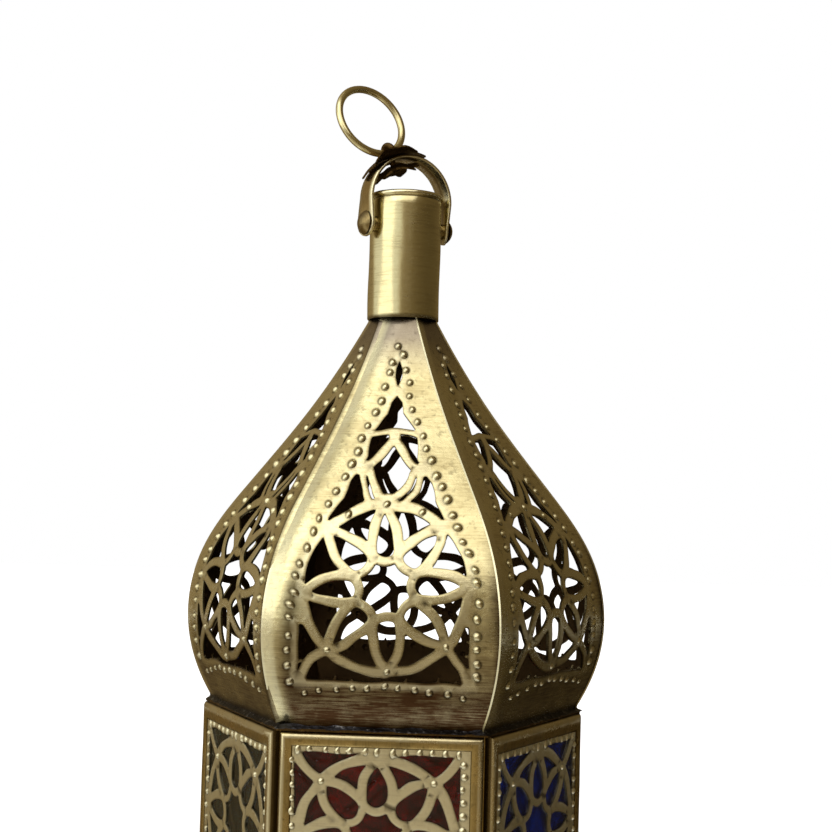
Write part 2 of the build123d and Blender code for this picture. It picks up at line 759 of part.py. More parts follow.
export_step(bail_strap.part, "parts/bail_strap.step")

# Swivel: a pin through the strap, flush in a star rosette above, with a collar and a clinched end below.
# The eye is a wire loop soldered on the star, low enough for the ring to rest just above it.
star_seat = arch_outer_radius + swing_gap
star_top = star_seat + star_thickness
eye_radius = eye_hole_radius + eye_wire_radius
eye_distance = star_top + ring_wire_radius + side_gap
collar_seat = sqrt((arch_radius - swing_gap) ** 2 - collar_radius ** 2)
pin_end = collar_seat - collar_thickness
eye_turn = radians(eye_heading)
eye_axis = pin_side * cos(eye_turn) + bail_plane.z_dir * sin(eye_turn)
eye_centre = arch_centre + pin_axis * eye_distance
with BuildPart(Plane(origin=eye_centre, x_dir=pin_axis, z_dir=eye_axis)) as swivel_eye:
    Torus(eye_radius, eye_wire_radius)
    with BuildSketch(swivel_plane(star_top)):
        Circle(2 * eye_radius)
    extrude(amount=-2 * eye_radius, mode=Mode.SUBTRACT)
swivel_eye.part.label = "swivel_eye"
export_step(swivel_eye.part, "parts/swivel_eye.step")

with BuildPart() as swivel_pin:
    with BuildSketch(swivel_plane(pin_end - pin_head_height)):
        Circle(pin_head_radius)
    extrude(amount=pin_head_height)
    with BuildSketch(swivel_plane(pin_end)):
        Circle(pin_radius)
    extrude(amount=star_seat - pin_end)
    with BuildSketch(swivel_plane(star_seat)):
        Circle(pin_radius)
    extrude(amount=star_thickness, taper=-pin_flare)
swivel_pin.part.label = "swivel_pin"
export_step(swivel_pin.part, "parts/swivel_pin.step")

star_outline = []
for step in range(2 * star_points):
    reach = star_radius if step % 2 == 0 else star_waist_radius
    star_outline.append(polar(reach, 180 / star_points * step, 0))
with BuildPart() as star_rosette:
    with BuildSketch(swivel_plane(star_seat)):
        Polygon(*star_outline, align=None)
    extrude(amount=star_thickness)
    with BuildSketch(swivel_plane(star_seat)):
        Circle(pin_radius + pin_gap)
    extrude(amount=star_thickness, taper=-pin_flare, mode=Mode.SUBTRACT)
star_rosette.part.label = "star_rosette"
export_step(star_rosette.part, "parts/star_rosette.step")

with BuildPart() as pin_collar:
    with BuildSketch(swivel_plane(pin_end)):
        Circle(collar_radius)
        Circle(pin_radius + pin_gap, mode=Mode.SUBTRACT)
    extrude(amount=collar_thickness)
pin_collar.part.label = "pin_collar"
export_step(pin_collar.part, "parts/pin_collar.step")

# Hanging ring: round wire through the eye
ring_turn = radians(ring_lean)
ring_up = pin_axis * cos(ring_turn) + eye_axis.cross(pin_axis) * sin(ring_turn)
ring_centre = eye_centre + ring_up * ring_radius
with BuildPart(Plane(origin=ring_centre, x_dir=eye_axis, z_dir=eye_axis.cross(ring_up))) as hanging_ring:
    Torus(ring_radius, ring_wire_radius)
hanging_ring.part.label = "hanging_ring"
export_step(hanging_ring.part, "parts/hanging_ring.step")
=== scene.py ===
import math
import random

import bpy
import numpy as np
from mathutils import Matrix, Vector
from mathutils.geometry import delaunay_2d_cdt


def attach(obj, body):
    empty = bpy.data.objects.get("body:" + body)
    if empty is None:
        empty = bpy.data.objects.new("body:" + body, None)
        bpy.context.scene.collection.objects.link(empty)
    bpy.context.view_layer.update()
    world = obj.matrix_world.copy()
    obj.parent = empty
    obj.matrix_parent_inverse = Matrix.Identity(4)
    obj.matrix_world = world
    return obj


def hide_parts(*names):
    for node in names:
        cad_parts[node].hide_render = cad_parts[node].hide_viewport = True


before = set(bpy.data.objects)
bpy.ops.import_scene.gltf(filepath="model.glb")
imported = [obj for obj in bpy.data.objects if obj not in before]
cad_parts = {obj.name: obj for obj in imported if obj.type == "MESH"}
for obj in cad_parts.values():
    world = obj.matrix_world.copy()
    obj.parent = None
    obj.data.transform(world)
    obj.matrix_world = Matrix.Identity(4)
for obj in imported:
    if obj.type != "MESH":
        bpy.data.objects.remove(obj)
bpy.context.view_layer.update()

# Plinth: a heavy foot rim, a flared skirt and a tray with its rim turned up, all of sheet brass.
# The sheet is folded at the corners and soldered, then pickled dark and rubbed bright by hand.
MM = 0.001
# The rubbed colour also serves for painted highlights, and the patina and heat browns for painted shade.
RUBBED_BRASS = "#f2eecf"
WARM_BRASS = "#b49b5f"
OLIVE_TARNISH = "#837246"
BROWN_PATINA = "#2c1d0c"
HEAT_BROWN = "#4a3421"
GREY_FUME = "#8e857f"
BRUSH_LINE = 0.6          # mm between brush strokes, drawn a little coarser than real so that they show
BRUSH_RUN = 9.0           # mm that a brush stroke runs on
BRUSH_DEPTH = 0.12
BLOTCH = 16.0             # mm across a cloud of tarnish
PIT = 2.2                 # mm across a hammer or pickling mark
PIT_DEPTH = 0.4
LEVEL = (1, 1, 0)         # axes that the brush ran along


def srgb(code):
    """Linear colour of an sRGB hex code."""
    parts = [int(code[at:at + 2], 16) / 255 for at in (1, 3, 5)]
    return [c / 12.92 if c <= 0.04045 else ((c + 0.055) / 1.055) ** 2.4 for c in parts] + [1.0]


def feed(tree, node, links):
    """Gives each socket of a node a value, or the socket that feeds it."""
    for socket, value in links.items():
        if isinstance(value, bpy.types.NodeSocket):
            tree.links.new(value, node.inputs[socket])
        else:
            node.inputs[socket].default_value = value


def add_node(tree, kind, links, output=0, **settings):
    """Adds one node with its settings and links, and gives back the socket that it puts out."""
    made = tree.nodes.new("ShaderNode" + kind)
    for key, value in settings.items():
        setattr(made, key, value)
    feed(tree, made, links)
    return made.outputs[output] if made.outputs else None


def new_material(name):
    """A node material, with its tree, its Principled shader and the place on the object."""
    material = bpy.data.materials.new(name)
    material.use_nodes = True
    tree = material.node_tree
    tree.nodes.clear()
    shader = tree.nodes.new("ShaderNodeBsdfPrincipled")
    add_node(tree, "OutputMaterial", {0: shader.outputs[0]})
    return material, tree, shader, add_node(tree, "TexCoord", {}, "Object")


def antiqued_brass(name, face, tarnish, roughness, run, cloud=0.45, spotting=0.35, relief=1.0):
    """Sheet brass, pickled dark and rubbed bright. The eye sees pale metal where it was rubbed, brown in
    the hollows, fine brush lines that draw the highlights out along the run, and soft clouds of tarnish.
    The rubbed layer also carries painted highlights, and the hollow and browned layers painted shade."""
    material, tree, shader, place = new_material(name)
    across = [1 / (BRUSH_RUN * MM) if way else 1 / (BRUSH_LINE * MM) for way in run]
    drawn = add_node(tree, "Mapping", {"Vector": place, "Scale": across})
    brush = add_node(tree, "TexNoise", {"Vector": drawn, "Scale": 1.0, "Detail": 3.0}, "Fac")
    blotch = add_node(tree, "TexNoise", {
        "Vector": place, "Scale": 1 / (BLOTCH * MM), "Detail": 6.0, "Roughness": 0.65}, "Fac")
    pits = add_node(tree, "TexNoise", {"Vector": place, "Scale": 1 / (PIT * MM), "Detail": 2.0}, "Fac")
    recess, rubbed, scorch, fume = [add_node(tree, "Attribute", {}, "Fac", attribute_name=key)
                                    for key in ("recess", "rubbed", "scorch", "fume")]
    clouds = add_node(tree, "MapRange", {
        "Value": blotch, "From Min": 0.40, "From Max": 0.72, "To Max": cloud})
    lines = add_node(tree, "MapRange", {
        "Value": brush, "From Min": 0.45, "From Max": 0.80, "To Max": 0.22})
    stain = add_node(tree, "Math", {0: clouds, 1: lines}, operation="ADD", use_clamp=True)
    streaky = add_node(tree, "Math", {0: blotch, 1: brush}, operation="ADD")
    # Heat tint, pushed darker on the dome's foot as painted shade.
    broken = add_node(tree, "Math", {0: streaky, 1: 0.5, 2: scorch}, operation="MULTIPLY_ADD")
    browned = add_node(tree, "MapRange", {"Value": broken, "From Min": 0.52, "From Max": 1.28})
    spots = add_node(tree, "MapRange", {
        "Value": pits, "From Min": 0.56, "From Max": 0.74, "To Max": spotting})
    # Patina in the hollows, in the same layer as painted shade; the rubbed layer also carries painted
    # highlights.
    hollow = add_node(tree, "Math", {0: recess, 1: spots}, operation="MAXIMUM")
    colour = srgb(face)
    for share, layer in ((stain, tarnish), (browned, HEAT_BROWN), (fume, GREY_FUME),
                         (hollow, BROWN_PATINA), (rubbed, RUBBED_BRASS)):
        colour = add_node(tree, "Mix", {0: share, 6: colour, 7: srgb(layer)}, 2, data_type="RGBA")
    matt = add_node(tree, "MapRange", {
        "Value": stain, "To Min": roughness - 0.06, "To Max": roughness + 0.20})
    strokes = add_node(tree, "Bump", {
        "Height": brush, "Strength": 0.12, "Distance": BRUSH_DEPTH * MM * relief})
    marks = add_node(tree, "Bump", {
        "Height": pits, "Strength": 0.18, "Distance": PIT_DEPTH * MM * relief, "Normal": strokes})
    feed(tree, shader, {"Base Color": colour, "Roughness": matt, "Normal": marks, "Metallic": 1.0})
    return material


def finish_node(material, *nodes):
    """Gives CAD nodes that keep their own shape a finish."""
    for node in nodes:
        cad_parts[node].data.materials.clear()
        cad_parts[node].data.materials.append(material)


plinth_brass = antiqued_brass("antiqued_brass_plinth", WARM_BRASS, OLIVE_TARNISH, 0.34, LEVEL)
finish_node(plinth_brass, "foot_rim", "plinth_skirt", "base_tray")

# Corner posts and shoulder plate: angle strips behind the gaps between the panes, and the hexagonal ring
# that the dome stands on, soldered together. The posts are rubbed like the plinth, and the ring is left
# as the pickle made it, a dull brown-black.
DARK_BRONZE = "#5a4729"
BRONZE_RUB = "#a08450"
CRUST_DEPTH = 0.4


def dark_bronze():
    """Brass left in the pickle until it is brown-black. The eye sees a dull dark metal with a warm sheen
    and a few places rubbed through to bronze."""
    material, tree, shader, place = new_material("dark_pickled_bronze")
    crust = add_node(tree, "TexNoise", {
        "Vector": place, "Scale": 1 / (PIT * MM), "Detail": 6.0, "Roughness": 0.7}, "Fac")
    rubs = add_node(tree, "MapRange", {"Value": crust, "From Min": 0.55, "From Max": 0.80})
    colour = add_node(tree, "Mix", {
        0: rubs, 6: srgb(DARK_BRONZE), 7: srgb(BRONZE_RUB)}, 2, data_type="RGBA")
    matt = add_node(tree, "MapRange", {"Value": crust, "To Min": 0.55, "To Max": 0.35})
    bump = add_node(tree, "Bump", {"Height": crust, "Strength": 0.5, "Distance": CRUST_DEPTH * MM})
    feed(tree, shader, {"Base Color": colour, "Roughness": matt, "Normal": bump, "Metallic": 1.0})
    return material


pickled_bronze = dark_bronze()
finish_node(pickled_bronze, "shoulder_plate")
finish_node(plinth_brass, "corner_posts")

# Pane frames: channel strip folded over the edges of fret and glass, mitred at the corners.
# The strip is drawn with a low crown, rubbed bright on top and dark in the fold beside the fret.
FACES = ["front", "right_front", "right_back", "back", "left_back", "left_front"]
DOOR = 0
CHANNEL_BRASS = "#bfa970"
ALONG_Z = (0, 0, 1)
COS30 = math.cos(math.radians(30))
BODY_CORNER = 86.0
BODY_APOTHEM = BODY_CORNER * COS30
PANEL_BOTTOM = 35.0
PANEL_WIDTH = 81.0
PANEL_HEIGHT = 148.0
PANEL_MIDDLE = PANEL_BOTTOM + PANEL_HEIGHT / 2
DOOR_EASE = 0.3           # mm that the door stands out and is lower, to swing free
CHANNEL_PROFILE = [       # across the strip from its outer edge, and out from the face of the body
    (0.0, -3.8), (0.0, -2.0), (0.18, -1.15), (0.55, -0.5), (1.1, -0.04), (1.8, 0.22), (2.5, 0.3), (3.2, 0.24),
    (3.9, 0.06), (4.5, -0.18), (5.0, -0.42), (5.2, -0.6), (0.6, -0.6), (0.6, -3.2), (5.2, -3.2), (5.2, -3.8)]
CHANNEL_WIDTH = 5.2
WIDE_TOP = 7.4            # the top rail of a fixed pane
DOOR_CROWN = 0.3          # the door's strip is dressed flatter, so that the catch passes over it
RAIL_STEPS = 10
RAIL_SWAY = 0.08


def face_frame(face):
    """Outward and sideways directions of a face of the hexagon."""
    turn = math.radians(60 * face - 90)
    return Vector((math.cos(turn), math.sin(turn), 0)), Vector((-math.sin(turn), math.cos(turn), 0))


def body_of_face(face):
    """The front pane is the door."""
    return "door" if face == DOOR else "lantern"


def new_object(name, data):
    """An object in the scene that shows the data."""
    made = bpy.data.objects.new(name, data)
    bpy.context.scene.collection.objects.link(made)
    return made


def add_values(mesh, key, numbers):
    """Gives the mesh's points a value that its material reads."""
    values = mesh.attributes.new(key, "FLOAT", "POINT")
    values.data.foreach_set("value", np.asarray(numbers, dtype=np.float32))


def make_piece(name, points, faces, materials, body, nodes, smooth_angle=40, values=None, slots=None):
    """A mesh piece from points in mm, on its body, in place of its CAD nodes."""
    mesh = bpy.data.meshes.new(name)
    mesh.from_pydata([tuple(c * MM for c in p) for p in points], [], faces)
    for material in materials:
        mesh.materials.append(material)
    if slots is not None:
        mesh.polygons.foreach_set("material_index", slots)
    for key, numbers in (values or {}).items():
        add_values(mesh, key, numbers)
    mesh.polygons.foreach_set("use_smooth", [True] * len(mesh.polygons))
    mesh.set_sharp_from_angle(angle=math.radians(smooth_angle))
    mesh.validate()
    piece = new_object(name, mesh)
    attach(piece, body)
    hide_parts(*nodes)
    return piece


def band_faces(rows, count, closed=True, turned=False):
    """Quads that join each loop of points to the next one, and the last to the first where it is closed."""
    faces = []
    for row in range(rows if closed else rows - 1):
        a, b = row * count, (row + 1) % rows * count
        for k in range(count):
            n = (k + 1) % count
            faces.append((a + k, a + n, b + n, b + k) if turned else (a + k, b + k, b + n, a + n))
    return faces


frame_brass = antiqued_brass("antiqued_brass_channel", CHANNEL_BRASS, OLIVE_TARNISH, 0.30, ALONG_Z, 0.7)
corners = [(-1, -1), (1, -1), (1, 1), (-1, 1)]
for face, name in enumerate(FACES):
    out, side = face_frame(face)
    ease = DOOR_EASE if face == DOOR else 0.0
    top_share = 1.0 if face == DOOR else WIDE_TOP / CHANNEL_WIDTH
    draw = random.Random(40 + face)
    half_u, half_v = PANEL_WIDTH / 2, PANEL_HEIGHT / 2 - ease
    points, rubbed, recess = [], [], []
    for (su, sv), (eu, ev) in zip(corners, corners[1:] + corners[:1]):
        for step in range(RAIL_STEPS):
            go = step / RAIL_STEPS
            sway = draw.uniform(-RAIL_SWAY, RAIL_SWAY) if step else 0.0
            for width, depth in CHANNEL_PROFILE:
                shown = depth > -1.0
                if face == DOOR and depth > 0:
                    depth *= DOOR_CROWN
                low, high = width - half_v, half_v - width * top_share
                along = (su + (eu - su) * go) * (half_u - width)
                spot = out * (BODY_APOTHEM + ease + depth + (sway if shown else 0.0)) + side * along
                rise = low + (high - low) * (sv + (ev - sv) * go + 1) / 2
                points.append((spot.x, spot.y, PANEL_MIDDLE + rise))
                rubbed.append(0.5 if shown and 0.5 <= width <= 2.0 else 0.0)
                recess.append(0.8 if width > 4.8 or depth < -0.9 else 0.0)
    faces = band_faces(4 * RAIL_STEPS, len(CHANNEL_PROFILE))
    make_piece("pane_channel_" + name, points, faces, [frame_brass], body_of_face(face),
               ["panel_frame_" + name], 32, {"rubbed": rubbed, "recess": recess})

# Frets: sheet brass pierced by hand with two eight-petalled rosettes, and chased with a row of dots.
# The saw leaves each strip a little uneven, the hammer crowns it, and punch marks stand up as domes.
# The back of the sheet is black with soot.
SOOT_BLACK = "#2a1c10"
SOOT_BROWN = "#6a5230"
ALONG_X = (1, 0, 0)
FRET_FRONT = BODY_APOTHEM - 0.633
FRET_SHEET = 0.7
FRET_SHIFT = [-1.3, 0.4, -0.6, 0.5, -0.4, 0.7]   # mm that the hand-sawn pattern lies off the middle
FRET_STRAY = 0.30         # mm that each pane differs from the next
FRET_DROP = 2.2           # mm that the pattern of a fixed pane lies below the middle
FRET_HALF = (39.5, 72.7)
FRET_GRID = (40.0, (-73.0, 73.0))   # where the sawn edges are traced, just past the sheet
WINDOW_HALF = (32.9, 66.1)
CELL_HALF = 33.05
ROSETTE_RADIUS = 31.5
RING_STRIP, PETAL_STRIP, SCALLOP_STRIP = 4.2, 4.0, 3.6
PETALS = 8
PETAL_TURN = 360 / PETALS
FRET_SHARES = (0.495, 0.340)    # where two petals meet and where a petal rounds off, along the radius
FRET_KNOTS = (2.5, 1.8)
PETAL_BOW = 2.1
DOT_GAP = 5.4
SAW_WAVE = 13.0           # mm over which the saw drifts to and fro
SAW_DRIFT, SAW_UNEVEN = 0.32, 0.16
WEB = 0.18                # mm of metal left in the crotch where strips meet
SMALLEST_CUT = 4.0        # mm round the smallest opening that is sawn
GRID = 0.4                # mm between the samples that the sawn edges are traced on
EDGE_STEP = 0.75          # mm between points along a sawn edge
PLAIN_STEP = 2.4          # mm between points of the plain sheet
CELL = 1.5
CROWN = 0.15              # mm that a strip's edges are hammered down
CROWN_REACH = 0.7
DOT_RISE = 0.95
PIT_SINK = 0.35


def wander(seed, size):
    """A smooth aimless drift over the sheet, such as a hand-held saw has; size is the length of a wave."""
    draw = random.Random(seed)
    waves = [(draw.uniform(0, 2 * math.pi), 2 * math.pi / (size * draw.uniform(0.7, 1.6)),
              draw.uniform(0, 2 * math.pi)) for _ in range(6)]

    def drift(u, v):
        return sum(np.sin((u * math.cos(way) + v * math.sin(way)) * rate + start)
                   for way, rate, start in waves) / 3
    return drift


def polar(radius, angle, middle):
    """Point of a rosette, with the angle in degrees from upright."""
    return (radius * math.sin(math.radians(angle)), middle + radius * math.cos(math.radians(angle)))


def bowed_line(start, end, bow, steps=8):
    """Line from start to end that bows to the left of its run."""
    run = (end[0] - start[0], end[1] - start[1])
    length = math.hypot(*run)
    line = []
    for step in range(steps + 1):
        go = step / steps
        lift = 4 * bow * go * (1 - go) / length
        line.append((start[0] + run[0] * go - run[1] * lift, start[1] + run[1] * go + run[0] * lift))
    return line


def rosette_strips(radius, middle, shares, arcs):
    """Lines and half widths of a rosette: arcs of its circle, sides of the petals and their round ends."""
    strips = [([polar(radius, turn, middle) for turn in range(first, last + 1, 5)], RING_STRIP / 2)
              for first, last in arcs]
    for petal in range(PETALS):
        turn = PETAL_TURN * petal
        tip = polar(radius, turn, middle)
        ends = [polar(radius * shares[0], turn + way * PETAL_TURN / 2, middle) for way in (-1, 1)]
        strips += [(bowed_line(tip, end, way * PETAL_BOW), PETAL_STRIP / 2)
                   for end, way in zip(ends, (-1, 1))]
        depth = radius * (shares[0] * math.cos(math.radians(PETAL_TURN / 2)) - shares[1])
        strips.append((bowed_line(*ends, -depth, 10), SCALLOP_STRIP / 2))
    return strips


def rosette_knots(radius, middle, shares, at_tips, at_joints):
    """Places and radii of the blobs of metal at the tips of the petals and where two petals meet."""
    knots = [(*polar(radius, PETAL_TURN * petal, middle), at_tips) for petal in range(PETALS)]
    return knots + [(*polar(radius * shares[0], PETAL_TURN * petal + PETAL_TURN / 2, middle), at_joints)
                    for petal in range(PETALS)]


def rosette_pits(radius, middle, shares, seed):
    """Drill marks left in the crotches where the saw started: place and radius of each."""
    draw = random.Random(seed)
    starts = [(1.0, 7.0), (1.0, -7.0), (0.88, 3.6), (0.88, -3.6), (shares[0] + 0.10, 22.5),
              (shares[0] - 0.05, 15.5), (shares[0] - 0.05, 29.5)]
    pits = []
    for petal in range(PETALS):
        for reach, turn in starts:
            if draw.random() < 0.75:
                far = radius * reach * draw.uniform(0.985, 1.015)
                spot = polar(far, PETAL_TURN * petal + turn + draw.uniform(-1, 1), middle)
                pits.append((*spot, draw.uniform(0.5, 0.85)))
    return pits


def ramp(level):
    """The level, held between nil and one."""
    return np.clip(level, 0, 1)


def line_distance(u, v, line):
    """Distance from points to a line."""
    nearest = np.full(np.shape(u), 1e9)
    for (u0, v0), (u1, v1) in zip(line, line[1:]):
        du, dv = u1 - u0, v1 - v0
        go = ramp(((u - u0) * du + (v - v0) * dv) / (du * du + dv * dv))
        nearest = np.minimum(nearest, np.hypot(u - u0 - go * du, v - v0 - go * dv))
    return nearest


def box_field(u, v, half_u, half_v, middle=0.0):
    """Distance outside a rectangle, negative inside."""
    qu, qv = np.abs(u) - half_u, np.abs(v - middle) - half_v
    return np.hypot(np.maximum(qu, 0), np.maximum(qv, 0)) + np.minimum(np.maximum(qu, qv), 0)


def metal_depth(u, v, border, strips, knots, drift):
    """How deep a point is in the metal, in mm; negative in an opening. Strips run together in soft webs."""
    wu, wv = u + SAW_DRIFT * drift[0](u, v), v + SAW_DRIFT * drift[1](u, v)
    uneven = SAW_UNEVEN * drift[2](u, v)
    parts = [border(wu, wv)]
    parts += [half + uneven - line_distance(wu, wv, line) for line, half in strips]
    parts += [radius - np.hypot(wu - ku, wv - kv) for ku, kv, radius in knots]
    total = sum(np.exp(np.clip(part / WEB, -600, 600)) for part in parts)
    return WEB * np.log(total + 1e-300)


def sawn_outlines(depth, u_axis, v_axis):
    """Closed outlines of the openings, traced where the depth of metal is nil."""
    metal = depth > 0
    mixed = ~((metal[:-1, :-1] == metal[1:, :-1]) & (metal[:-1, :-1] == metal[1:, 1:])
              & (metal[:-1, :-1] == metal[:-1, 1:]))
    links = {}
    for i, j in np.argwhere(mixed).tolist():
        ring = (metal[i, j], metal[i + 1, j], metal[i + 1, j + 1], metal[i, j + 1])
        sides = ((0, i, j), (1, i + 1, j), (0, i, j + 1), (1, i, j))
        cut = [sides[k] for k in range(4) if ring[k] != ring[(k + 1) % 4]]
        for a, b in zip(cut[::2], cut[1::2]):
            links.setdefault(a, []).append(b)
            links.setdefault(b, []).append(a)
    outlines = []
    while links:
        here, loop = next(iter(links)), []
        while here is not None:
            ahead = links.pop(here)
            upright, i, j = here
            i2, j2 = (i, j + 1) if upright else (i + 1, j)
            go = depth[i, j] / (depth[i, j] - depth[i2, j2])
            loop.append((u_axis[i] + (u_axis[i2] - u_axis[i]) * go,
                         v_axis[j] + (v_axis[j2] - v_axis[j]) * go))
            here = next((e for e in ahead if e in links), None)
        path = np.array(loop + loop[:1])
        run = np.concatenate([[0], np.cumsum(np.hypot(*np.diff(path, axis=0).T))])
        if run[-1] > SMALLEST_CUT:
            at = np.linspace(0, run[-1], max(8, round(run[-1] / EDGE_STEP)), endpoint=False)
            outlines.append(np.column_stack([np.interp(at, run, path[:, 0]), np.interp(at, run, path[:, 1])]))
    return outlines


def pierced_layout(depth_at, outline, inside, dots, reach_u, reach_v, rows=()):
    """Flat triangles of a pierced sheet, with points close together at the sawn edges and the dots."""
    u_axis, v_axis = np.arange(-reach_u, reach_u, GRID), np.arange(reach_v[0], reach_v[1], GRID)
    grid = depth_at(*np.meshgrid(u_axis, v_axis, indexing="ij"))
    loops = [np.array(outline)] + sawn_outlines(grid, u_axis, v_axis)
    points, edges, cells = [], [], {}

    def keep_point(u, v):
        cells.setdefault((int(u // CELL), int(v // CELL)), []).append((u, v))
        points.append((u, v))

    def is_free(u, v, room):
        i, j = int(u // CELL), int(v // CELL)
        near = [p for a in (-1, 0, 1) for b in (-1, 0, 1) for p in cells.get((i + a, j + b), ())]
        return all((pu - u) ** 2 + (pv - v) ** 2 >= room * room for pu, pv in near)

    for loop in loops:
        first = len(points)
        for u, v in loop:
            keep_point(u, v)
        edges += [(first + k, first + (k + 1) % len(loop)) for k in range(len(loop))]
    extra = []
    for du, dv, size, stretch in dots:
        for ring, count in ((0.0, 1), (0.4, 6), (0.75, 9), (1.05, 11), (1.5, 12)):
            for k in range(count):
                turn = 2 * math.pi * k / count
                reach = ring * size
                extra.append((du + reach * math.cos(turn), dv + reach * stretch * math.sin(turn), 0.3))
    for loop in loops[1:]:
        slope = [(depth_at(loop[:, 0] + a, loop[:, 1] + b) - depth_at(loop[:, 0] - a, loop[:, 1] - b))
                 for a, b in ((0.1, 0), (0, 0.1))]
        norm = np.maximum(np.hypot(*slope), 1e-6)
        for inset in (0.5, 1.15):
            for (u, v), su, sv in zip(loop, slope[0] / norm, slope[1] / norm):
                extra.append((u + su * inset, v + sv * inset, 0.42))
    extra += [(u, v, 0.6) for u, v in rows]
    for a in np.arange(-reach_u, reach_u, PLAIN_STEP):
        for b in np.arange(reach_v[0], reach_v[1], PLAIN_STEP):
            extra.append((a + PLAIN_STEP / 2 * (round(b / PLAIN_STEP) % 2), b, PLAIN_STEP * 0.62))
    spots = np.array([e[:2] for e in extra])
    held = inside(spots[:, 0], spots[:, 1], 0.5) & (depth_at(spots[:, 0], spots[:, 1]) > 0.3)
    for (u, v, room), ok in zip(extra, held):
        if ok and is_free(u, v, room):
            keep_point(u, v)
    verts, _, tris, _, _, _ = delaunay_2d_cdt([Vector(p) for p in points], edges, [], 0, 1e-5, False)
    flat = np.array([tuple(p) for p in verts])
    tris = np.array(tris)
    mids = flat[tris].mean(axis=1)
    tris = tris[(depth_at(mids[:, 0], mids[:, 1]) > 0) & inside(mids[:, 0], mids[:, 1], 0.0)]
    used = np.unique(tris)
    index = np.full(len(flat), -1)
    index[used] = np.arange(len(used))
    return flat[used], index[tris]


def chase(u, v, depth, dots, pits):
    """Relief of the chased sheet in mm, with how far it is rubbed bright and how dark its hollows are."""
    rise = -CROWN * (1 - ramp(depth / CROWN_REACH)) ** 2
    recess = 0.75 * ramp(1 - depth / 0.55)
    rubbed = 0.5 * ramp((depth - 0.5) / 0.6) * ramp((3.2 - depth) / 0.8)
    for du, dv, size, stretch in dots:
        r = np.hypot(u - du, (v - dv) / stretch) / size
        dome = np.where(r < 1, 1 - r ** 2, 0)
        rise = rise + DOT_RISE * size / 1.5 * dome - 0.14 * np.exp(-((r - 1.2) / 0.22) ** 2)
        recess = np.maximum(recess, 0.8 * np.exp(-((r - 1.12) / 0.2) ** 2))
        rubbed = np.maximum(rubbed * (r > 1), np.where(r < 1, 0.9 * (1 - r), 0))
    for pu, pv, size in pits:
        mark = np.exp(-((u - pu) ** 2 + (v - pv) ** 2) / size ** 2)
        rise = rise - PIT_SINK * mark
        recess = np.maximum(recess, 0.95 * np.minimum(1, 1.4 * mark))
        rubbed = rubbed * (1 - mark)
    return rise, rubbed, recess


def sheet_solid(name, tris, outer, inner, materials, body, node, values):
    """A thin brass sheet from its two sides, closed along every sawn edge, in place of its CAD node."""
    count = len(outer)
    seen = {}
    for a, b, c in tris.tolist():
        for edge in ((a, b), (b, c), (c, a)):
            seen[edge] = True
    rims = [edge for edge in seen if (edge[1], edge[0]) not in seen]
    faces = tris.tolist() + (tris[:, ::-1] + count).tolist() + [(b, a, a + count, b + count) for a, b in rims]
    slots = [0] * len(tris) + [1] * len(tris) + [0] * len(rims)
    doubled = {key: np.concatenate([v, v]) for key, v in values.items()}
    make_piece(name, np.vstack([outer, inner]), faces, materials, body, [node], 35,
               doubled, slots)


def sooted_brass():
    """The back of the sheet, black with lamp soot over brown metal. The eye sees hardly any light from it."""
    material, tree, shader, place = new_material("sooted_brass_back")
    soot = add_node(tree, "TexNoise", {"Vector": place, "Scale": 1 / (BLOTCH * MM), "Detail": 5.0}, "Fac")
    colour = add_node(tree, "Mix", {
        0: soot, 6: srgb(SOOT_BLACK), 7: srgb(SOOT_BROWN)}, 2, data_type="RGBA")
    matt = add_node(tree, "MapRange", {"Value": soot, "To Min": 0.75, "To Max": 0.5})
    feed(tree, shader, {"Base Color": colour, "Roughness": matt, "Metallic": 0.8})
    return material


fret_brass = antiqued_brass("antiqued_brass_fret", RUBBED_BRASS, WARM_BRASS, 0.40, ALONG_X, 0.22, 0.25)
soot_back = sooted_brass()
fret_drift = [wander(seed, SAW_WAVE) for seed in (3, 4, 5)]
fret_strips, fret_knots, fret_pits, fret_dots = [], [], [], []
for cell in (-1, 1):
    middle = cell * CELL_HALF
    fret_strips += rosette_strips(ROSETTE_RADIUS, middle, FRET_SHARES, [(0, 360)])
    for angle in (45, 135, 225, 315):
        tip = polar(ROSETTE_RADIUS, angle, middle)
        corner = (math.copysign(WINDOW_HALF[0], tip[0]), middle + math.copysign(CELL_HALF, tip[1] - middle))
        fret_strips.append((bowed_line(tip, corner, 0.8 if (angle // 90) % 2 else -0.8), PETAL_STRIP / 2))
    fret_knots += rosette_knots(ROSETTE_RADIUS, middle, FRET_SHARES, *FRET_KNOTS)
    fret_pits += rosette_pits(ROSETTE_RADIUS, middle, FRET_SHARES, 17 + cell)
draw = random.Random(5)
for k in range(-6, 7):
    for way in (-1, 1):
        fret_dots.append((k * DOT_GAP + draw.uniform(-0.6, 0.6), way * (WINDOW_HALF[1] + 1.0),
                          draw.uniform(0.95, 1.2), 1.6))
for k in range(-12, 13):
    for way in (-1, 1):
        fret_dots.append((way * (WINDOW_HALF[0] + 1.0) + draw.uniform(-0.5, 0.5),
                          k * (DOT_GAP - 0.1) + draw.uniform(-0.7, 0.7), draw.uniform(1.05, 1.4), 1.1))
for cell in (-1, 1):
    fret_dots += [(*polar(ROSETTE_RADIUS, a, cell * CELL_HALF), 1.25, 1.0) for a in (45, 135, 225, 315)]


def fret_depth(u, v):
    """How deep a point of a fret is in the metal."""
    return metal_depth(u, v, lambda a, b: box_field(a, b, *WINDOW_HALF), fret_strips, fret_knots, fret_drift)


def within_fret(u, v, margin):
    """Whether a point lies on the sheet of a fret."""
    return (np.abs(u) < FRET_HALF[0] - margin) & (np.abs(v) < FRET_HALF[1] - margin)


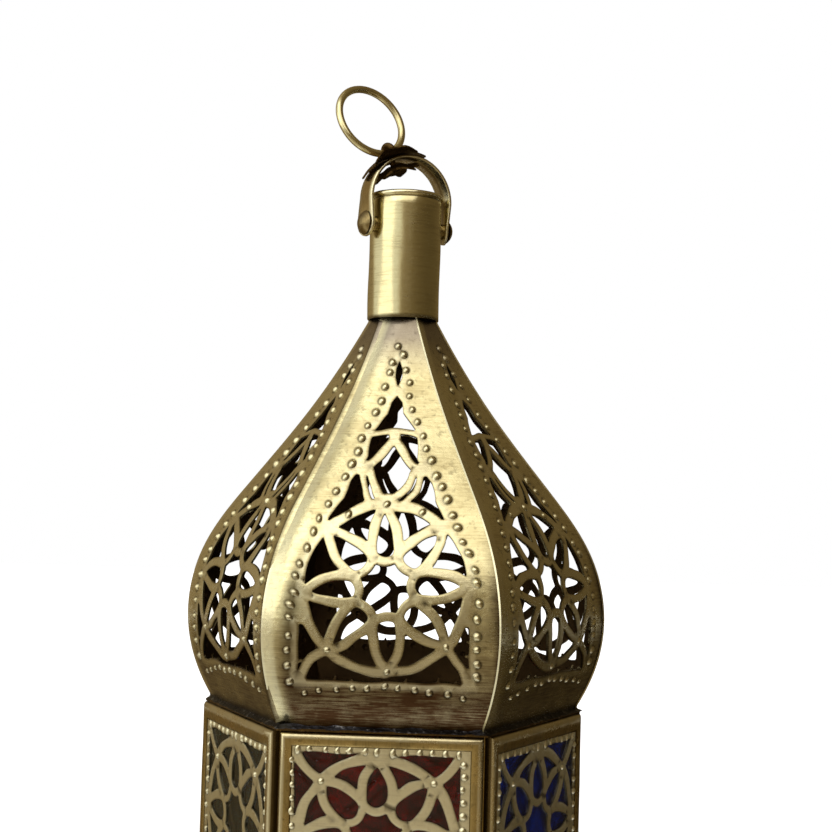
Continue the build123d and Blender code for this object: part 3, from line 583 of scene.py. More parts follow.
rows_u = np.linspace(-FRET_HALF[0], FRET_HALF[0], 20)
rows_v = np.linspace(-FRET_HALF[1], FRET_HALF[1], 36)
fret_outline = ([(u, -FRET_HALF[1]) for u in rows_u] + [(FRET_HALF[0], v) for v in rows_v[1:]]
                + [(u, FRET_HALF[1]) for u in rows_u[-2::-1]] + [(-FRET_HALF[0], v) for v in rows_v[-2:0:-1]])
fret_flat, fret_tris = pierced_layout(fret_depth, fret_outline, within_fret, fret_dots, *FRET_GRID)
flat_u, flat_v = fret_flat.T
fret_rise, fret_rub, fret_dark = chase(flat_u, flat_v, fret_depth(flat_u, flat_v), fret_dots, fret_pits)
# The edges of the sheet are held in the channel, so that the pattern strays only inside them.
inward = ramp((38.0 - np.abs(flat_u)) / 3) * ramp((71.0 - np.abs(flat_v)) / 3)
for face, name in enumerate(FACES):
    out, side = face_frame(face)
    stray = [wander(100 + 10 * face + k, 22.0) for k in range(2)]
    drop = 0.0 if face == DOOR else FRET_DROP
    u = flat_u + (FRET_STRAY * stray[0](flat_u, flat_v) + FRET_SHIFT[face]) * inward
    up = PANEL_MIDDLE + flat_v + (FRET_STRAY * stray[1](flat_u, flat_v) - drop) * inward
    base = FRET_FRONT + (DOOR_EASE if face == DOOR else 0.0)
    outer, inner = [np.column_stack([out.x * at + side.x * u, out.y * at + side.y * u, up])
                    for at in (base + fret_rise, base - FRET_SHEET)]
    sheet_solid("chased_fret_" + name, fret_tris, outer, inner, [fret_brass, soot_back], body_of_face(face),
                "fret_panel_" + name, {"rubbed": fret_rub, "recess": fret_dark})

# Glass: rolled coloured sheet behind each fret, held in the channel.
# It is coloured through, with the slow ripple that rolling leaves, so that it glows deep and streaky.
RED, BLUE, GREEN = "#8e0814", "#0c369c", "#2c4438"
RIPPLE = 17.0             # mm between ripples of the rolled glass
RIPPLE_DEPTH = 1.5
DEEP_SHARE = 0.16         # how much of the light comes through the deepest streaks


def coloured_glass(name, colour):
    """Rolled glass coloured in the melt. The eye sees a deep clear colour, and light bent in slow swirls."""
    material, tree, shader, place = new_material(name)
    swirl = add_node(tree, "TexNoise", {
        "Vector": place, "Scale": 1 / (RIPPLE * MM), "Detail": 1.0, "Distortion": 2.2}, "Fac")
    bump = add_node(tree, "Bump", {"Height": swirl, "Strength": 0.35, "Distance": RIPPLE_DEPTH * MM})
    streak = add_node(tree, "MapRange", {"Value": swirl, "From Min": 0.3, "From Max": 0.7})
    deep = [c * DEEP_SHARE for c in srgb(colour)[:3]] + [1.0]
    tint = add_node(tree, "Mix", {0: streak, 6: deep, 7: srgb(colour)}, 2, data_type="RGBA")
    feed(tree, shader, {"Base Color": tint, "Normal": bump, "Roughness": 0.04, "IOR": 1.52,
                        "Transmission Weight": 0.9})
    return material


glasses = [coloured_glass("red_rolled_glass", RED), coloured_glass("blue_rolled_glass", BLUE),
           coloured_glass("green_rolled_glass", GREEN)]
for face, name in enumerate(FACES):
    finish_node(glasses[face % 3], "glass_pane_" + name)

# Door hinges and catch: knuckles rolled from strip on wire pins, and a turn button on a domed rivet.
# They are small brass parts, soldered or riveted on and rubbed bright by use.
PALE_BRASS = "#e9e2b6"
fitting_brass = antiqued_brass("antiqued_brass_fittings", PALE_BRASS, WARM_BRASS, 0.28, LEVEL)
finish_node(fitting_brass, "frame_knuckles", "door_knuckles", "hinge_pins", "turn_button", "catch_rivet")

# Candle holder: a drip pan and a cup, spun from brass sheet and held to the tray by one rivet.
# The flame has browned it.
candle_brass = antiqued_brass("antiqued_brass_candle_holder", WARM_BRASS, OLIVE_TARNISH, 0.36, LEVEL)
finish_node(candle_brass, "drip_pan", "candle_cup", "candle_rivet")

# Dome: six gores of sheet brass, bent to an onion profile, pierced and chased like the panes.
# The left edge of a gore is rolled back and laps over its neighbour, whose right margin is tucked under it.
# The laps are soldered, and the torch has browned the foot, which is pushed darker still as painted shade.
TAN30 = math.tan(math.radians(30))
DOME_FOOT = 184.0
GORE_SHEET = 0.8
GORE_PROFILE = [          # up from the foot, and out from the middle to the flat of the gore
    (1.5, BODY_APOTHEM - 3.5), (40.5, BODY_APOTHEM + 6.6), (69.0, BODY_APOTHEM + 0.9),
    (97.0, BODY_APOTHEM - 15.6), (132.5, BODY_APOTHEM - 39.6), (172.5, 13.25)]
GORE_TOP = 174.0
GORE_GRID = (48.0, (0.0, GORE_TOP))
FULL_ROLL = 22            # degrees that the widest edge is rolled back
FLANGES = [(FULL_ROLL, 2.05), (3, 1.0), (3, 1.0), (4, 1.1), (3, 1.0), (3, 1.0)]   # and mm past the corner
BEND_START = 9.1          # mm from the corner of the hexagon to where the edge starts to roll back
BEND_WIDTH = 6.4
BEND_HOLLOW = 1.0
FLANGE_ROOM = 9.5         # mm beside the corner where the sheet is drawn out to reach past it
GORE_TWIST = [3.0, -1.5, 2.0, -2.5, 1.0, -1.0]   # degrees that each rosette is turned
GORE_STRAY = 0.35         # mm that each gore differs from the next
GORE_DENT = 0.10
# The browning of each foot is pushed darker than heat tint alone, as painted shade.
SCORCHED = [0.74, 0.5, 0.7, 0.6, 0.7, 0.55]      # how far the torch browned each foot
DOME_ROSETTE, DOME_RADIUS = 57.0, 33.0
DOME_WINDOW_HALF = 33.6
DOME_WINDOW_FOOT = 20.2
DOME_WINDOW_TOP = DOME_ROSETTE - 14.3
DOME_SHARES = (0.415, 0.318)
DOME_KNOTS = (2.6, 1.9)
DOME_ARCS = [(-45, 45), (90, 270)]
KITE_SIDE = [(23.8, 26.8), (18.6, 35.1), (16.9, 41.6), (12.6, 49.0), (10.6, 52.0), (9.4, 63.4), (3.3, 71.3),
             (2.4, 76.0)]
SLIT_SIDE = [(1.6, 88.0), (1.4, 91.5)]
DOT_PATH = [              # the row of dots up the right margin of a gore
    (36.4, 19.5), (37.4, 30.0), (37.4, 42.0), (36.6, 52.0), (34.8, 63.0), (32.7, 71.5), (30.0, 78.5),
    (26.4, 86.5), (20.8, 97.3), (16.0, 108.3), (11.9, 120.0), (7.3, 132.0), (4.6, 143.5), (2.3, 155.5)]
DOT_PITCH = 6.0


def run_along(path):
    """Length of a path up to each of its points."""
    return np.concatenate([[0], np.cumsum(np.hypot(*np.diff(path, axis=0).T))])


def profile_table(knots):
    """Smooth curve through the profile's points, as heights and apothems."""
    pts = np.array(knots)
    run = run_along(pts)
    n = len(run)
    gap = np.diff(run)
    fine = np.linspace(0, run[-1], 500)
    cell = np.clip(np.searchsorted(run, fine, side="right") - 1, 0, n - 2)
    go = (fine - run[cell]) / gap[cell]
    table = []
    for p in pts.T:
        slope = np.diff(p) / gap
        first = slope[0] - gap[0] * (slope[1] - slope[0]) / (gap[0] + gap[1])
        last = slope[-1] + gap[-1] * (slope[-1] - slope[-2]) / (gap[-1] + gap[-2])
        left, right = np.zeros((n, n)), np.zeros(n)
        left[0, 0] = left[-1, -1] = 1
        right[0], right[-1] = first, last
        for k in range(1, n - 1):
            left[k, k - 1:k + 2] = 1 / gap[k - 1], 2 * (1 / gap[k - 1] + 1 / gap[k]), 1 / gap[k]
            right[k] = 3 * (slope[k - 1] / gap[k - 1] + slope[k] / gap[k])
        tangent = np.linalg.solve(left, right)
        table.append((2 * go ** 3 - 3 * go ** 2 + 1) * p[cell]
                     + (go ** 3 - 2 * go ** 2 + go) * gap[cell] * tangent[cell]
                     + (3 * go ** 2 - 2 * go ** 3) * p[cell + 1]
                     + (go ** 3 - go ** 2) * gap[cell] * tangent[cell + 1])
    return table


gore_heights, gore_apothems = profile_table(GORE_PROFILE)


def gore_apothem(v):
    """From the middle of the dome to the flat of a gore, at a height."""
    return np.interp(v, gore_heights, gore_apothems)


def gore_half_width(v):
    """From the middle line of a gore to the corner of the hexagon, at a height."""
    return gore_apothem(v) * TAN30


def over_rosette(u, rise):
    """Point of a gore, by its height over the middle of the rosette."""
    return (u, DOME_ROSETTE + rise)


def mirrored_outline(foot, flank, top):
    """A closed outline from its right flank."""
    return [(0.0, foot)] + flank + [(0.0, top)] + [(-u, v) for u, v in flank[::-1]]


# A split stem rises over the rosette to two leaves and a crown, and struts run to the lower corners.
gore_strips = rosette_strips(DOME_RADIUS, DOME_ROSETTE, DOME_SHARES, DOME_ARCS)
leaf_knots = [over_rosette(way * 10.9, 47.6) for way in (-1, 1)]
for way, leaf in zip((-1, 1), leaf_knots):
    foot_tip = polar(DOME_RADIUS, 180 - way * 45, DOME_ROSETTE)
    gore_strips += [
        (bowed_line(over_rosette(way * 6.9, 33.4), over_rosette(way * 12.2, 44.6), -way * 0.9), 1.4),
        (bowed_line(over_rosette(way * 2.7, 35.6), over_rosette(way * 8.7, 46.0), -way * 0.9), 1.75),
        (bowed_line(leaf, over_rosette(way * 1.2 + 0.3, 59.0), way * 0.7), 1.75),
        (bowed_line(foot_tip, (way * 32.6, DOME_WINDOW_FOOT - 0.5), way * 1.8), 1.9),
        ([leaf, over_rosette(way * 14.5, 47.0)], 2.2)]
gore_strips.append((bowed_line(over_rosette(-9.8, 62.5), over_rosette(9.8, 62.5), 0.9), 1.35))
for burr, tall in ((-19.0, 1.6), (-13.0, 1.0), (8.0, 1.1), (21.5, 1.8), (28.0, 1.2)):
    gore_strips.append(([(burr, DOME_WINDOW_FOOT - 1.0), (burr + 0.4, DOME_WINDOW_FOOT + tall)], 0.3))
for rise, way in ((36.5, 1), (27.5, -1), (31.0, 1), (25.5, 1)):
    gore_strips.append(([(way * 34.6, rise), (way * 32.4, rise + 0.6)], 0.4))
gore_knots = rosette_knots(DOME_RADIUS, DOME_ROSETTE, DOME_SHARES, *DOME_KNOTS)
gore_knots += [(*leaf, 2.7) for leaf in leaf_knots]
gore_knots += [(*over_rosette(0.3, 60.4), 2.6), (*over_rosette(0.0, 34.6), 3.0)]
gore_pits = rosette_pits(DOME_RADIUS, DOME_ROSETTE, DOME_SHARES, 31)
gore_pits += [(*over_rosette(u, rise), 0.7)
              for u, rise in ((-8.6, 48.6), (8.6, 48.6), (-2.6, 60.6), (3.4, 60.2), (4.4, 35.4))]
KITE = mirrored_outline(0.0, KITE_SIDE, 79.0)
SLIT = mirrored_outline(83.4, SLIT_SIDE, 95.2)


def polygon_field(u, v, corners):
    """Distance outside a polygon, negative inside."""
    inside = np.zeros(np.shape(u), dtype=bool)
    for (u0, v0), (u1, v1) in zip(corners, corners[1:] + corners[:1]):
        crosses = (v0 > v) != (v1 > v)
        inside ^= crosses & (u < (u1 - u0) * (v - v0) / ((v1 - v0) if v1 != v0 else 1e-9) + u0)
    gap = line_distance(u, v, corners + corners[:1])
    return np.where(inside, -gap, gap)


def gore_border(u, v):
    """Distance outside the openings that the strips lie in: the rosette, the foot, the kite and the slit."""
    rise = v - DOME_ROSETTE
    ring = np.hypot(u, rise) - (DOME_RADIUS - 0.6)
    foot = box_field(u, v, DOME_WINDOW_HALF, (DOME_WINDOW_TOP - DOME_WINDOW_FOOT) / 2,
                     (DOME_WINDOW_TOP + DOME_WINDOW_FOOT) / 2)
    upper = np.minimum(polygon_field(u, rise, KITE), polygon_field(u, rise, SLIT))
    return np.minimum(np.minimum(ring, foot), upper)


gore_drift = [wander(seed, SAW_WAVE) for seed in (11, 12, 13)]


def gore_depth(u, v):
    """How deep a point of a gore is in the metal."""
    return metal_depth(u, v, gore_border, gore_strips, gore_knots, gore_drift)


def within_gore(u, v, margin):
    """Whether a point lies on the sheet of a gore."""
    return (np.abs(u) < gore_half_width(v) - margin) & (v > margin) & (v < GORE_TOP - margin)


draw = random.Random(7)
gore_dots = [(-0.4, 158.6, 1.6, 1.0)]
path = np.array(DOT_PATH)
run = run_along(path)
for way in (-1, 1):
    for at in np.arange(1.6 + way * 1.2, run[-1], DOT_PITCH):
        gore_dots.append((way * np.interp(at, run, path[:, 0]) + draw.uniform(-0.7, 0.7),
                          np.interp(at, run, path[:, 1]) + draw.uniform(-0.8, 0.8),
                          draw.uniform(1.35, 1.85), 1.0))
for k in range(-5, 6):
    along = k * (DOT_PITCH + 0.2) + draw.uniform(-0.7, 0.7)
    gore_dots.append((along, 17.9 - 0.0038 * along ** 2 + draw.uniform(-0.5, 0.5),
                      draw.uniform(1.2, 1.5), 1.0))
for angles, size in (((-27, 1, 27), 1.45), ((135, 180, 225), 1.3)):
    gore_dots += [(*polar(DOME_RADIUS, angle, DOME_ROSETTE), size, 1.0) for angle in angles]

edge_v = np.linspace(0.0, GORE_TOP, 86)
foot_row = np.linspace(-gore_half_width(0.0), gore_half_width(0.0), 40)
top_row = np.linspace(gore_half_width(GORE_TOP), -gore_half_width(GORE_TOP), 8)
gore_outline = ([(u, 0.0) for u in foot_row[:-1]] + [(gore_half_width(v), v) for v in edge_v[:-1]]
                + [(u, GORE_TOP) for u in top_row[:-1]] + [(-gore_half_width(v), v) for v in edge_v[:0:-1]])
edge_rows = [(gore_half_width(v) - inset, v) for v in edge_v for inset in (0.8, 1.7, 2.7, 3.8)]
edge_rows += [(inset - gore_half_width(v), v) for v in edge_v for inset in np.arange(0.9, FLANGE_ROOM, 0.95)]
gore_flat, gore_tris = pierced_layout(gore_depth, gore_outline, within_gore, gore_dots, *GORE_GRID, edge_rows)
flat_u, flat_v = gore_flat.T
gore_rise, gore_rub, gore_dark = chase(flat_u, flat_v, gore_depth(flat_u, flat_v), gore_dots, gore_pits)
gore_brass = antiqued_brass("antiqued_brass_dome", PALE_BRASS, WARM_BRASS, 0.30, LEVEL, 0.40)
# The rosette is turned as a whole, and the rest strays only away from the edges and the foot.
flat_rise = flat_v - DOME_ROSETTE
in_rosette = ramp((40 - np.hypot(flat_u, flat_rise)) / 8)
calm = ramp((gore_half_width(flat_v) - np.abs(flat_u)) / 6) * ramp(flat_v / 8)
for face, name in enumerate(FACES):
    out, side = face_frame(face)
    stray = [wander(200 + 10 * face + k, 24.0)(flat_u, flat_v) * calm for k in range(3)]
    twist = np.radians(GORE_TWIST[face]) * in_rosette
    u = flat_u * np.cos(twist) - flat_rise * np.sin(twist) + GORE_STRAY * stray[0]
    v = DOME_ROSETTE + flat_u * np.sin(twist) + flat_rise * np.cos(twist) + GORE_STRAY * stray[1]
    apothem, half_width = gore_apothem(v), gore_half_width(v)
    lean = gore_apothem(v - 0.5) - gore_apothem(v + 0.5)
    flat_n, flat_z = 1 / np.hypot(1, lean), lean / np.hypot(1, lean)
    from_left, from_right = u + half_width, half_width - u

    # The left edge: a bend, and a flat flange that runs past the corner.
    lean_back, past = math.radians(FLANGES[face][0]), FLANGES[face][1]
    bend_radius = BEND_WIDTH / lean_back
    bend_end = BEND_START - bend_radius * math.sin(lean_back)
    flange = (bend_end + past) / math.cos(lean_back)
    spare = flange - (BEND_START - BEND_WIDTH)
    along = from_left - spare * ramp(1 - from_left / FLANGE_ROOM) ** 2
    turned = ramp((BEND_START - along) / BEND_WIDTH) * lean_back
    flat_run = np.maximum(BEND_START - BEND_WIDTH - along, 0)
    rolled = BEND_START - bend_radius * np.sin(turned) - flat_run * math.cos(lean_back)
    u = np.where(along < BEND_START, rolled, along) - half_width
    roll = bend_radius * (1 - np.cos(turned)) + flat_run * math.sin(lean_back)

    # The right margin: tucked in where the next gore's flange laps over it.
    next_lean, next_past = math.radians(FLANGES[(face + 1) % 6][0]), FLANGES[(face + 1) % 6][1]
    next_radius = BEND_WIDTH / next_lean
    next_run = BEND_START - next_radius * math.sin(next_lean) + next_past
    next_drop = next_radius * (1 - math.cos(next_lean)) + math.tan(next_lean) * next_run
    lap = next_past / 2 + next_drop * COS30
    tuck = np.maximum(lap - 0.05 - from_right, 0) * (math.tan(math.radians(60) - next_lean) + 0.07)
    front = gore_rise + GORE_DENT * stray[2] - roll - tuck
    outer, inner = [np.column_stack([out.x * (apothem + flat_n * height) + side.x * u,
                                     out.y * (apothem + flat_n * height) + side.y * u,
                                     DOME_FOOT + v + flat_z * height])
                    for height in (front, front - GORE_SHEET)]

    # Rubbed on the very edge and the flange, which also carry a painted highlight; painted shade at the foot,
    # in the lap and at the neck, and a painted dark reflection beside the bend.
    rubbed = np.maximum.reduce([
        gore_rub, 0.95 * ramp(1 - from_left / 0.7), 0.4 * ramp(bend_end + 0.5 - along)])
    # Heat tint at the foot and by the right margin, darker than the tint alone as painted shade for the dark
    # ground the foot mirrors and the shade by the lap.
    scorch = np.maximum(SCORCHED[face] * ramp((48 - v) / 34) * np.clip((from_left - 1) / 6, 0.15, 1),
                        0.8 * ramp(1.2 - from_right / 5) * ramp((85 - v) / 30))
    # A dark band just past the bend is a painted reflection.
    beside = ramp(1.3 - np.abs(along - BEND_START - BEND_HOLLOW) / 3.6)
    beside = beside * ramp((v - 8) / 12) * ramp((78 - v) / 18)
    # Painted shade at the foot where it curves under, in a line along the lap under the next gore's flange,
    # and at the neck under the tube's edge.
    dark = np.maximum.reduce([
        gore_dark, 0.9 * ramp((5 - v) / 4), 0.75 * ramp(1 - np.abs(from_right - lap - 0.1) / 0.7),
        0.5 * ramp((v - 167) / 5), 0.60 * math.sin(lean_back) / math.sin(math.radians(FULL_ROLL)) * beside])
    fume = 0.85 * ramp((v - 144) / 20) * np.clip((along + 1) / 4, 0.2, 1)
    sheet_solid("dome_gore_" + name, gore_tris, outer, inner, [gore_brass, soot_back], "lantern",
                "dome_panel_" + name,
                {"rubbed": rubbed * ramp((v - 4) / 8), "recess": dark, "scorch": scorch, "fume": fume})

# Solder: lead-tin run along the foot of the dome, where it stands on the shoulder plate.
# It is lumpy and has gone blue-black under the torch.
SOLDER_BLACK = "#333338"
SOLDER_GREY = "#8d9098"
SOLDER_STEPS = 22
LUMP_DEPTH = 0.7


def lead_solder():
    """Soft solder, dark from the torch. The eye sees a blue-black lumpy seam with a few wet glints."""
    material, tree, shader, place = new_material("lead_solder_seam")
    lumps = add_node(tree, "TexNoise", {"Vector": place, "Scale": 1 / (PIT * MM), "Detail": 4.0}, "Fac")
    worn = add_node(tree, "MapRange", {"Value": lumps, "From Min": 0.58, "From Max": 0.72})
    colour = add_node(tree, "Mix", {
        0: worn, 6: srgb(SOLDER_BLACK), 7: srgb(SOLDER_GREY)}, 2, data_type="RGBA")
    bump = add_node(tree, "Bump", {"Height": lumps, "Strength": 0.7, "Distance": LUMP_DEPTH * MM})
    feed(tree, shader, {"Base Color": colour, "Normal": bump, "Roughness": 0.34, "Metallic": 1.0})
    return material


draw = random.Random(21)
points = []
for face in range(6):
    out, side = face_frame(face)
    for step in range(SOLDER_STEPS):
        along = -1 + 2 * step / SOLDER_STEPS
        climb, spread = draw.uniform(1.1, 2.3), draw.uniform(1.5, 2.7)
        bulge = draw.uniform(0.35, 0.55)
        run_profile = [(-0.5, -0.2), (-0.15, climb), (spread * 0.35, climb * bulge),
                       (spread * 0.75, climb * 0.18), (spread, -0.2)]
        for reach, height in run_profile:
            apothem = GORE_PROFILE[0][1] + reach
            spot = out * apothem + side * along * apothem * TAN30
            points.append((spot.x, spot.y, DOME_FOOT + height))
faces = band_faces(6 * SOLDER_STEPS, len(run_profile))
make_piece("foot_solder", points, faces, [lead_solder()], "lantern", [], 60)

# Chimney tube: sheet brass rolled round and seamed, with a bead rolled at its mouth.
# It is the smoothest piece, rubbed round and round to a satin finish, with the dents of handling.
TUBE_BOTTOM, TUBE_TOP = 356.5, 413.8
TUBE_RADIUS, TUBE_BORE, BEAD_RADIUS = 16.2, 15.4, 1.3
TUBE_TURNS = 96
TUBE_STEP = 4.9
TUBE_DENT = 0.14
BEAD_GROOVE = TUBE_TOP - 2.75
tube_brass = antiqued_brass("antiqued_brass_tube", PALE_BRASS, WARM_BRASS, 0.27, LEVEL, 0.16, 0.04, 0.5)
bead_middle = (TUBE_RADIUS + TUBE_BORE) / 2
tube_profile = [(TUBE_BORE, TUBE_TOP - BEAD_RADIUS), (TUBE_BORE, TUBE_BOTTOM),
                (TUBE_RADIUS - 0.15, TUBE_BOTTOM), (TUBE_RADIUS, TUBE_BOTTOM + 0.3)]
tube_profile += [(TUBE_RADIUS, TUBE_BOTTOM + 2 + TUBE_STEP * k) for k in range(11)]
tube_profile += [(TUBE_RADIUS, BEAD_GROOVE - 0.55), (TUBE_RADIUS - 0.28, BEAD_GROOVE),
                 (TUBE_RADIUS - 0.1, BEAD_GROOVE + 0.4)]
tube_profile += [(bead_middle + BEAD_RADIUS * math.cos(t), TUBE_TOP - BEAD_RADIUS + BEAD_RADIUS * math.sin(t))
                 for t in np.radians(np.linspace(-50, 205, 12))]
dent = wander(61, 26.0)
points, dark, bright = [], [], []
for turn in range(TUBE_TURNS):
    angle = 2 * math.pi * turn / TUBE_TURNS
    for radius, z in tube_profile:
        inside = radius < TUBE_RADIUS - 0.5 and z < TUBE_TOP - 2 * BEAD_RADIUS
        give = 0.0 if inside else TUBE_DENT * dent(40 * math.cos(angle) + z, 40 * math.sin(angle))
        points.append(((radius + give) * math.cos(angle), (radius + give) * math.sin(angle), z))
        # Painted shade in the groove under the bead and along the bottom edge; the bore is darkened too.
        hollow = abs(z - BEAD_GROOVE) < 0.3 or z < TUBE_BOTTOM + 0.5
        dark.append(0.95 if inside else 0.75 if hollow else 0.0)
        bright.append(0.7 if z > TUBE_TOP - 1.6 and radius > TUBE_BORE else 0.0)
faces = band_faces(TUBE_TURNS, len(tube_profile))
make_piece("rolled_tube", points, faces, [tube_brass], "lantern", ["chimney_tube"], 45,
           {"recess": dark, "rubbed": bright})

# Bail: a flat strip bent to an arch over the tube, rounded at its ends, with the domed rivets it swings on
# and the spacers behind it. Its edges are worn bright, and its underside is brown.
BAIL_BRASS = "#cdb67e"
RIVET_BRASS = "#a8966a"
RIVET_TARNISH = "#4a3d26"
ANY_WAY = (1, 1, 1)
BAIL_TURN = math.radians(30)
PIVOT_Z, ARCH_Z = 399.3, 411.3
ARCH_RADIUS, STRAP_SHEET, STRAP_HALF = 19.85, 1.5, 6.0
STRAP_EDGE = 0.4
STRAP_UNEVEN = 0.10
ARCH_STEPS = 36
LEG_STEPS = 4
LEG_TWIST = math.radians(12)      # the legs were twisted a little when they were closed on the tube
bail_brass = antiqued_brass("antiqued_brass_bail", BAIL_BRASS, OLIVE_TARNISH, 0.30, ALONG_Z, 0.55, 0.15)
rivet_brass = antiqued_brass("antiqued_brass_rivets", RIVET_BRASS, RIVET_TARNISH, 0.30, ANY_WAY, 0.6, 0.2)
finish_node(rivet_brass, "bail_rivets", "bail_spacers")
run_way = Vector((math.cos(BAIL_TURN), math.sin(BAIL_TURN), 0))
cross_way = Vector((-math.sin(BAIL_TURN), math.cos(BAIL_TURN), 0))
arch_middle = Vector((0, 0, ARCH_Z))


def bail_leg(end):
    """Stations of a leg, from its round foot up to the arch: place, way out and half width."""
    stops = [(PIVOT_Z - STRAP_HALF * math.cos(t), STRAP_HALF * max(math.sin(t), 0.04))
             for t in np.radians([0, 10, 22, 36, 52, 70])]
    stops += [(PIVOT_Z + (ARCH_Z - PIVOT_Z) * k / LEG_STEPS, STRAP_HALF) for k in range(LEG_STEPS + 1)]
    return [(run_way * end * ARCH_RADIUS + Vector((0, 0, z)), run_way * end, half) for z, half in stops]


arch = []
for k in range(1, ARCH_STEPS):
    t = math.pi * k / ARCH_STEPS
    lean = run_way * math.cos(t) + Vector((0, 0, math.sin(t)))
    arch.append((arch_middle + lean * ARCH_RADIUS, lean, STRAP_HALF))
stations = bail_leg(1) + arch + bail_leg(-1)[::-1]
points, rubbed, dark = [], [], []
uneven = wander(71, 15.0)
thick = STRAP_SHEET / 2
for at, (spot, lean, half) in enumerate(stations):
    flat = max(half - STRAP_EDGE, half * 0.5)
    section = [(-flat, thick), (-flat / 2, thick), (0, thick), (flat / 2, thick), (flat, thick),
               (half, thick - STRAP_EDGE), (half, STRAP_EDGE - thick), (flat, -thick), (0, -thick),
               (-flat, -thick), (-half, STRAP_EDGE - thick), (-half, thick - STRAP_EDGE)]
    twist = LEG_TWIST * min(max((ARCH_Z - spot.z) / (ARCH_Z - PIVOT_Z), 0), 1)
    over_strap = cross_way * math.cos(twist) + lean * math.sin(twist)
    off_strap = lean * math.cos(twist) - cross_way * math.sin(twist)
    for across, lift in section:
        give = STRAP_UNEVEN * uneven(2.0 * at, across)
        points.append(tuple(spot + over_strap * (across + give) + off_strap * lift))
        edge = abs(across) > flat - 0.01
        rubbed.append(0.85 if edge else 0.0)
        dark.append(0.0 if edge else 0.7 if lift < 0 else 0.1)
count = len(section)
faces = band_faces(len(stations), count, closed=False, turned=True)
faces += [tuple(range(count))[::-1], tuple(range(len(points) - count, len(points)))]
make_piece("bent_bail", points, faces, [bail_brass], "bail", ["bail_strap"], 50,
           {"rubbed": rubbed, "recess": dark})

# Swivel: a star cut from thin sheet sits on the strap, with a smaller one under it, on a clinched pin.
# The points are bent by hand, some down round the strap and some up beside the wire eye.
# All of it is pickled dark.
PIN_LEAN = math.radians(24)       # the pin leans over along the strap
EYE_TURN = math.radians(165.5)    # the eye is turned on the pin
STAR_SEAT, STAR_SHEET = 20.9, 0.7
STAR_HOLE, STAR_WAIST, STAR_POINT = 2.1, 12.0, 15.4
COLLAR_SEAT, COLLAR_SHEET = 16.75, 0.8
COLLAR_HOLE, COLLAR_WAIST, COLLAR_POINT = 1.5, 9.0, 11.2
STAR_TABS = 6
STAR_RINGS = [0.0, 0.12, 0.25, 0.4, 0.55, 0.7, 0.85, 1.0]
STAR_TURNS = 64
CRUMPLE = 0.25
STRAP_TOP = ARCH_RADIUS + STRAP_SHEET / 2
LIFT_TURN = math.radians(38)
LIFT_RISE = 4.6
RING_SWING = math.radians(67)     # each way from the pin
RING_ROOM = 0.7
PIN_AXIS = Vector((0, 0, math.cos(PIN_LEAN))) - run_way * math.sin(PIN_LEAN)
pin_side = Vector((0, 0, math.sin(PIN_LEAN))) + run_way * math.cos(PIN_LEAN)
eye_axis = pin_side * math.cos(EYE_TURN) - cross_way * math.sin(EYE_TURN)
lift_way = PIN_AXIS.cross(eye_axis)


def bent_star(name, node, hole, waist, point, seat, sheet, shape, seed):
    """A star of thin sheet with blunt points bent by hand; shape gives the rise at a turn and radius."""
    crumple = wander(seed, 7.0)
    points = []
    for side in (1, 0):
        for share in STAR_RINGS:
            for k in range(STAR_TURNS):
                turn = 2 * math.pi * k / STAR_TURNS
                tip = min(max((abs((k * STAR_TABS / STAR_TURNS) % 1 - 0.5) * 2 - 0.3) / 0.35, 0), 1)
                radius = hole + (waist + (point - waist) * tip - hole) * share
                x, y = radius * math.cos(turn), radius * math.sin(turn)
                rise = seat + shape(turn, radius) + CRUMPLE * share * abs(crumple(x, y)) + sheet * side
                points.append(tuple(arch_middle + PIN_AXIS * rise + lift_way * x + eye_axis * y))
    ring, half = STAR_TURNS, STAR_TURNS * len(STAR_RINGS)
    faces = []
    for r in range(len(STAR_RINGS) - 1):
        for k in range(ring):
            n = (k + 1) % ring
            a, b, c, d = r * ring + k, r * ring + n, (r + 1) * ring + n, (r + 1) * ring + k
            faces += [(a, d, c, b), (half + a, half + b, half + c, half + d)]
    last = (len(STAR_RINGS) - 1) * ring
    for k in range(ring):
        n = (k + 1) % ring
        faces += [(last + k, half + last + k, half + last + n, last + n), (k, n, half + n, half + k)]
    make_piece(name, points, faces, [pickled_bronze], "swivel", [node], 35)


def upper_bend(turn, radius):
    """Points droop as the strap does, except that those on the lifted side stand up beside the eye."""
    droop = math.sqrt(STRAP_TOP ** 2 - max(radius ** 2 - STRAP_HALF ** 2, 0)) - STRAP_TOP
    raised = max(math.cos(turn - LIFT_TURN), 0) ** 3
    grow = min(max((radius - 4) / 11, 0), 1)
    room = max(abs(radius * math.cos(turn)) / math.tan(RING_SWING) - RING_ROOM, 0)
    return droop * 0.9 * (1 - raised) + min(LIFT_RISE * raised * grow ** 1.2, room)


def lower_bend(turn, radius):
    """The lower star hugs the strap from below."""
    return -0.45 * max(radius - 3, 0) - 0.25 * math.cos(3 * turn + 1) * max(radius - 5, 0) - 0.3


bent_star("bent_star", "star_rosette", STAR_HOLE, STAR_WAIST, STAR_POINT, STAR_SEAT, STAR_SHEET,
          upper_bend, 81)
bent_star("bent_collar", "pin_collar", COLLAR_HOLE, COLLAR_WAIST, COLLAR_POINT, COLLAR_SEAT, COLLAR_SHEET,
          lower_bend, 82)
finish_node(pickled_bronze, "swivel_pin", "swivel_eye")

# Hanging ring: round brass wire, bent to a ring through the eye and closed.
# It is worn smooth and bright where it is handled and hung.
ring_brass = antiqued_brass("antiqued_brass_ring", PALE_BRASS, WARM_BRASS, 0.24, ANY_WAY, 0.3, 0.0, 0.0)
finish_node(ring_brass, "hanging_ring")

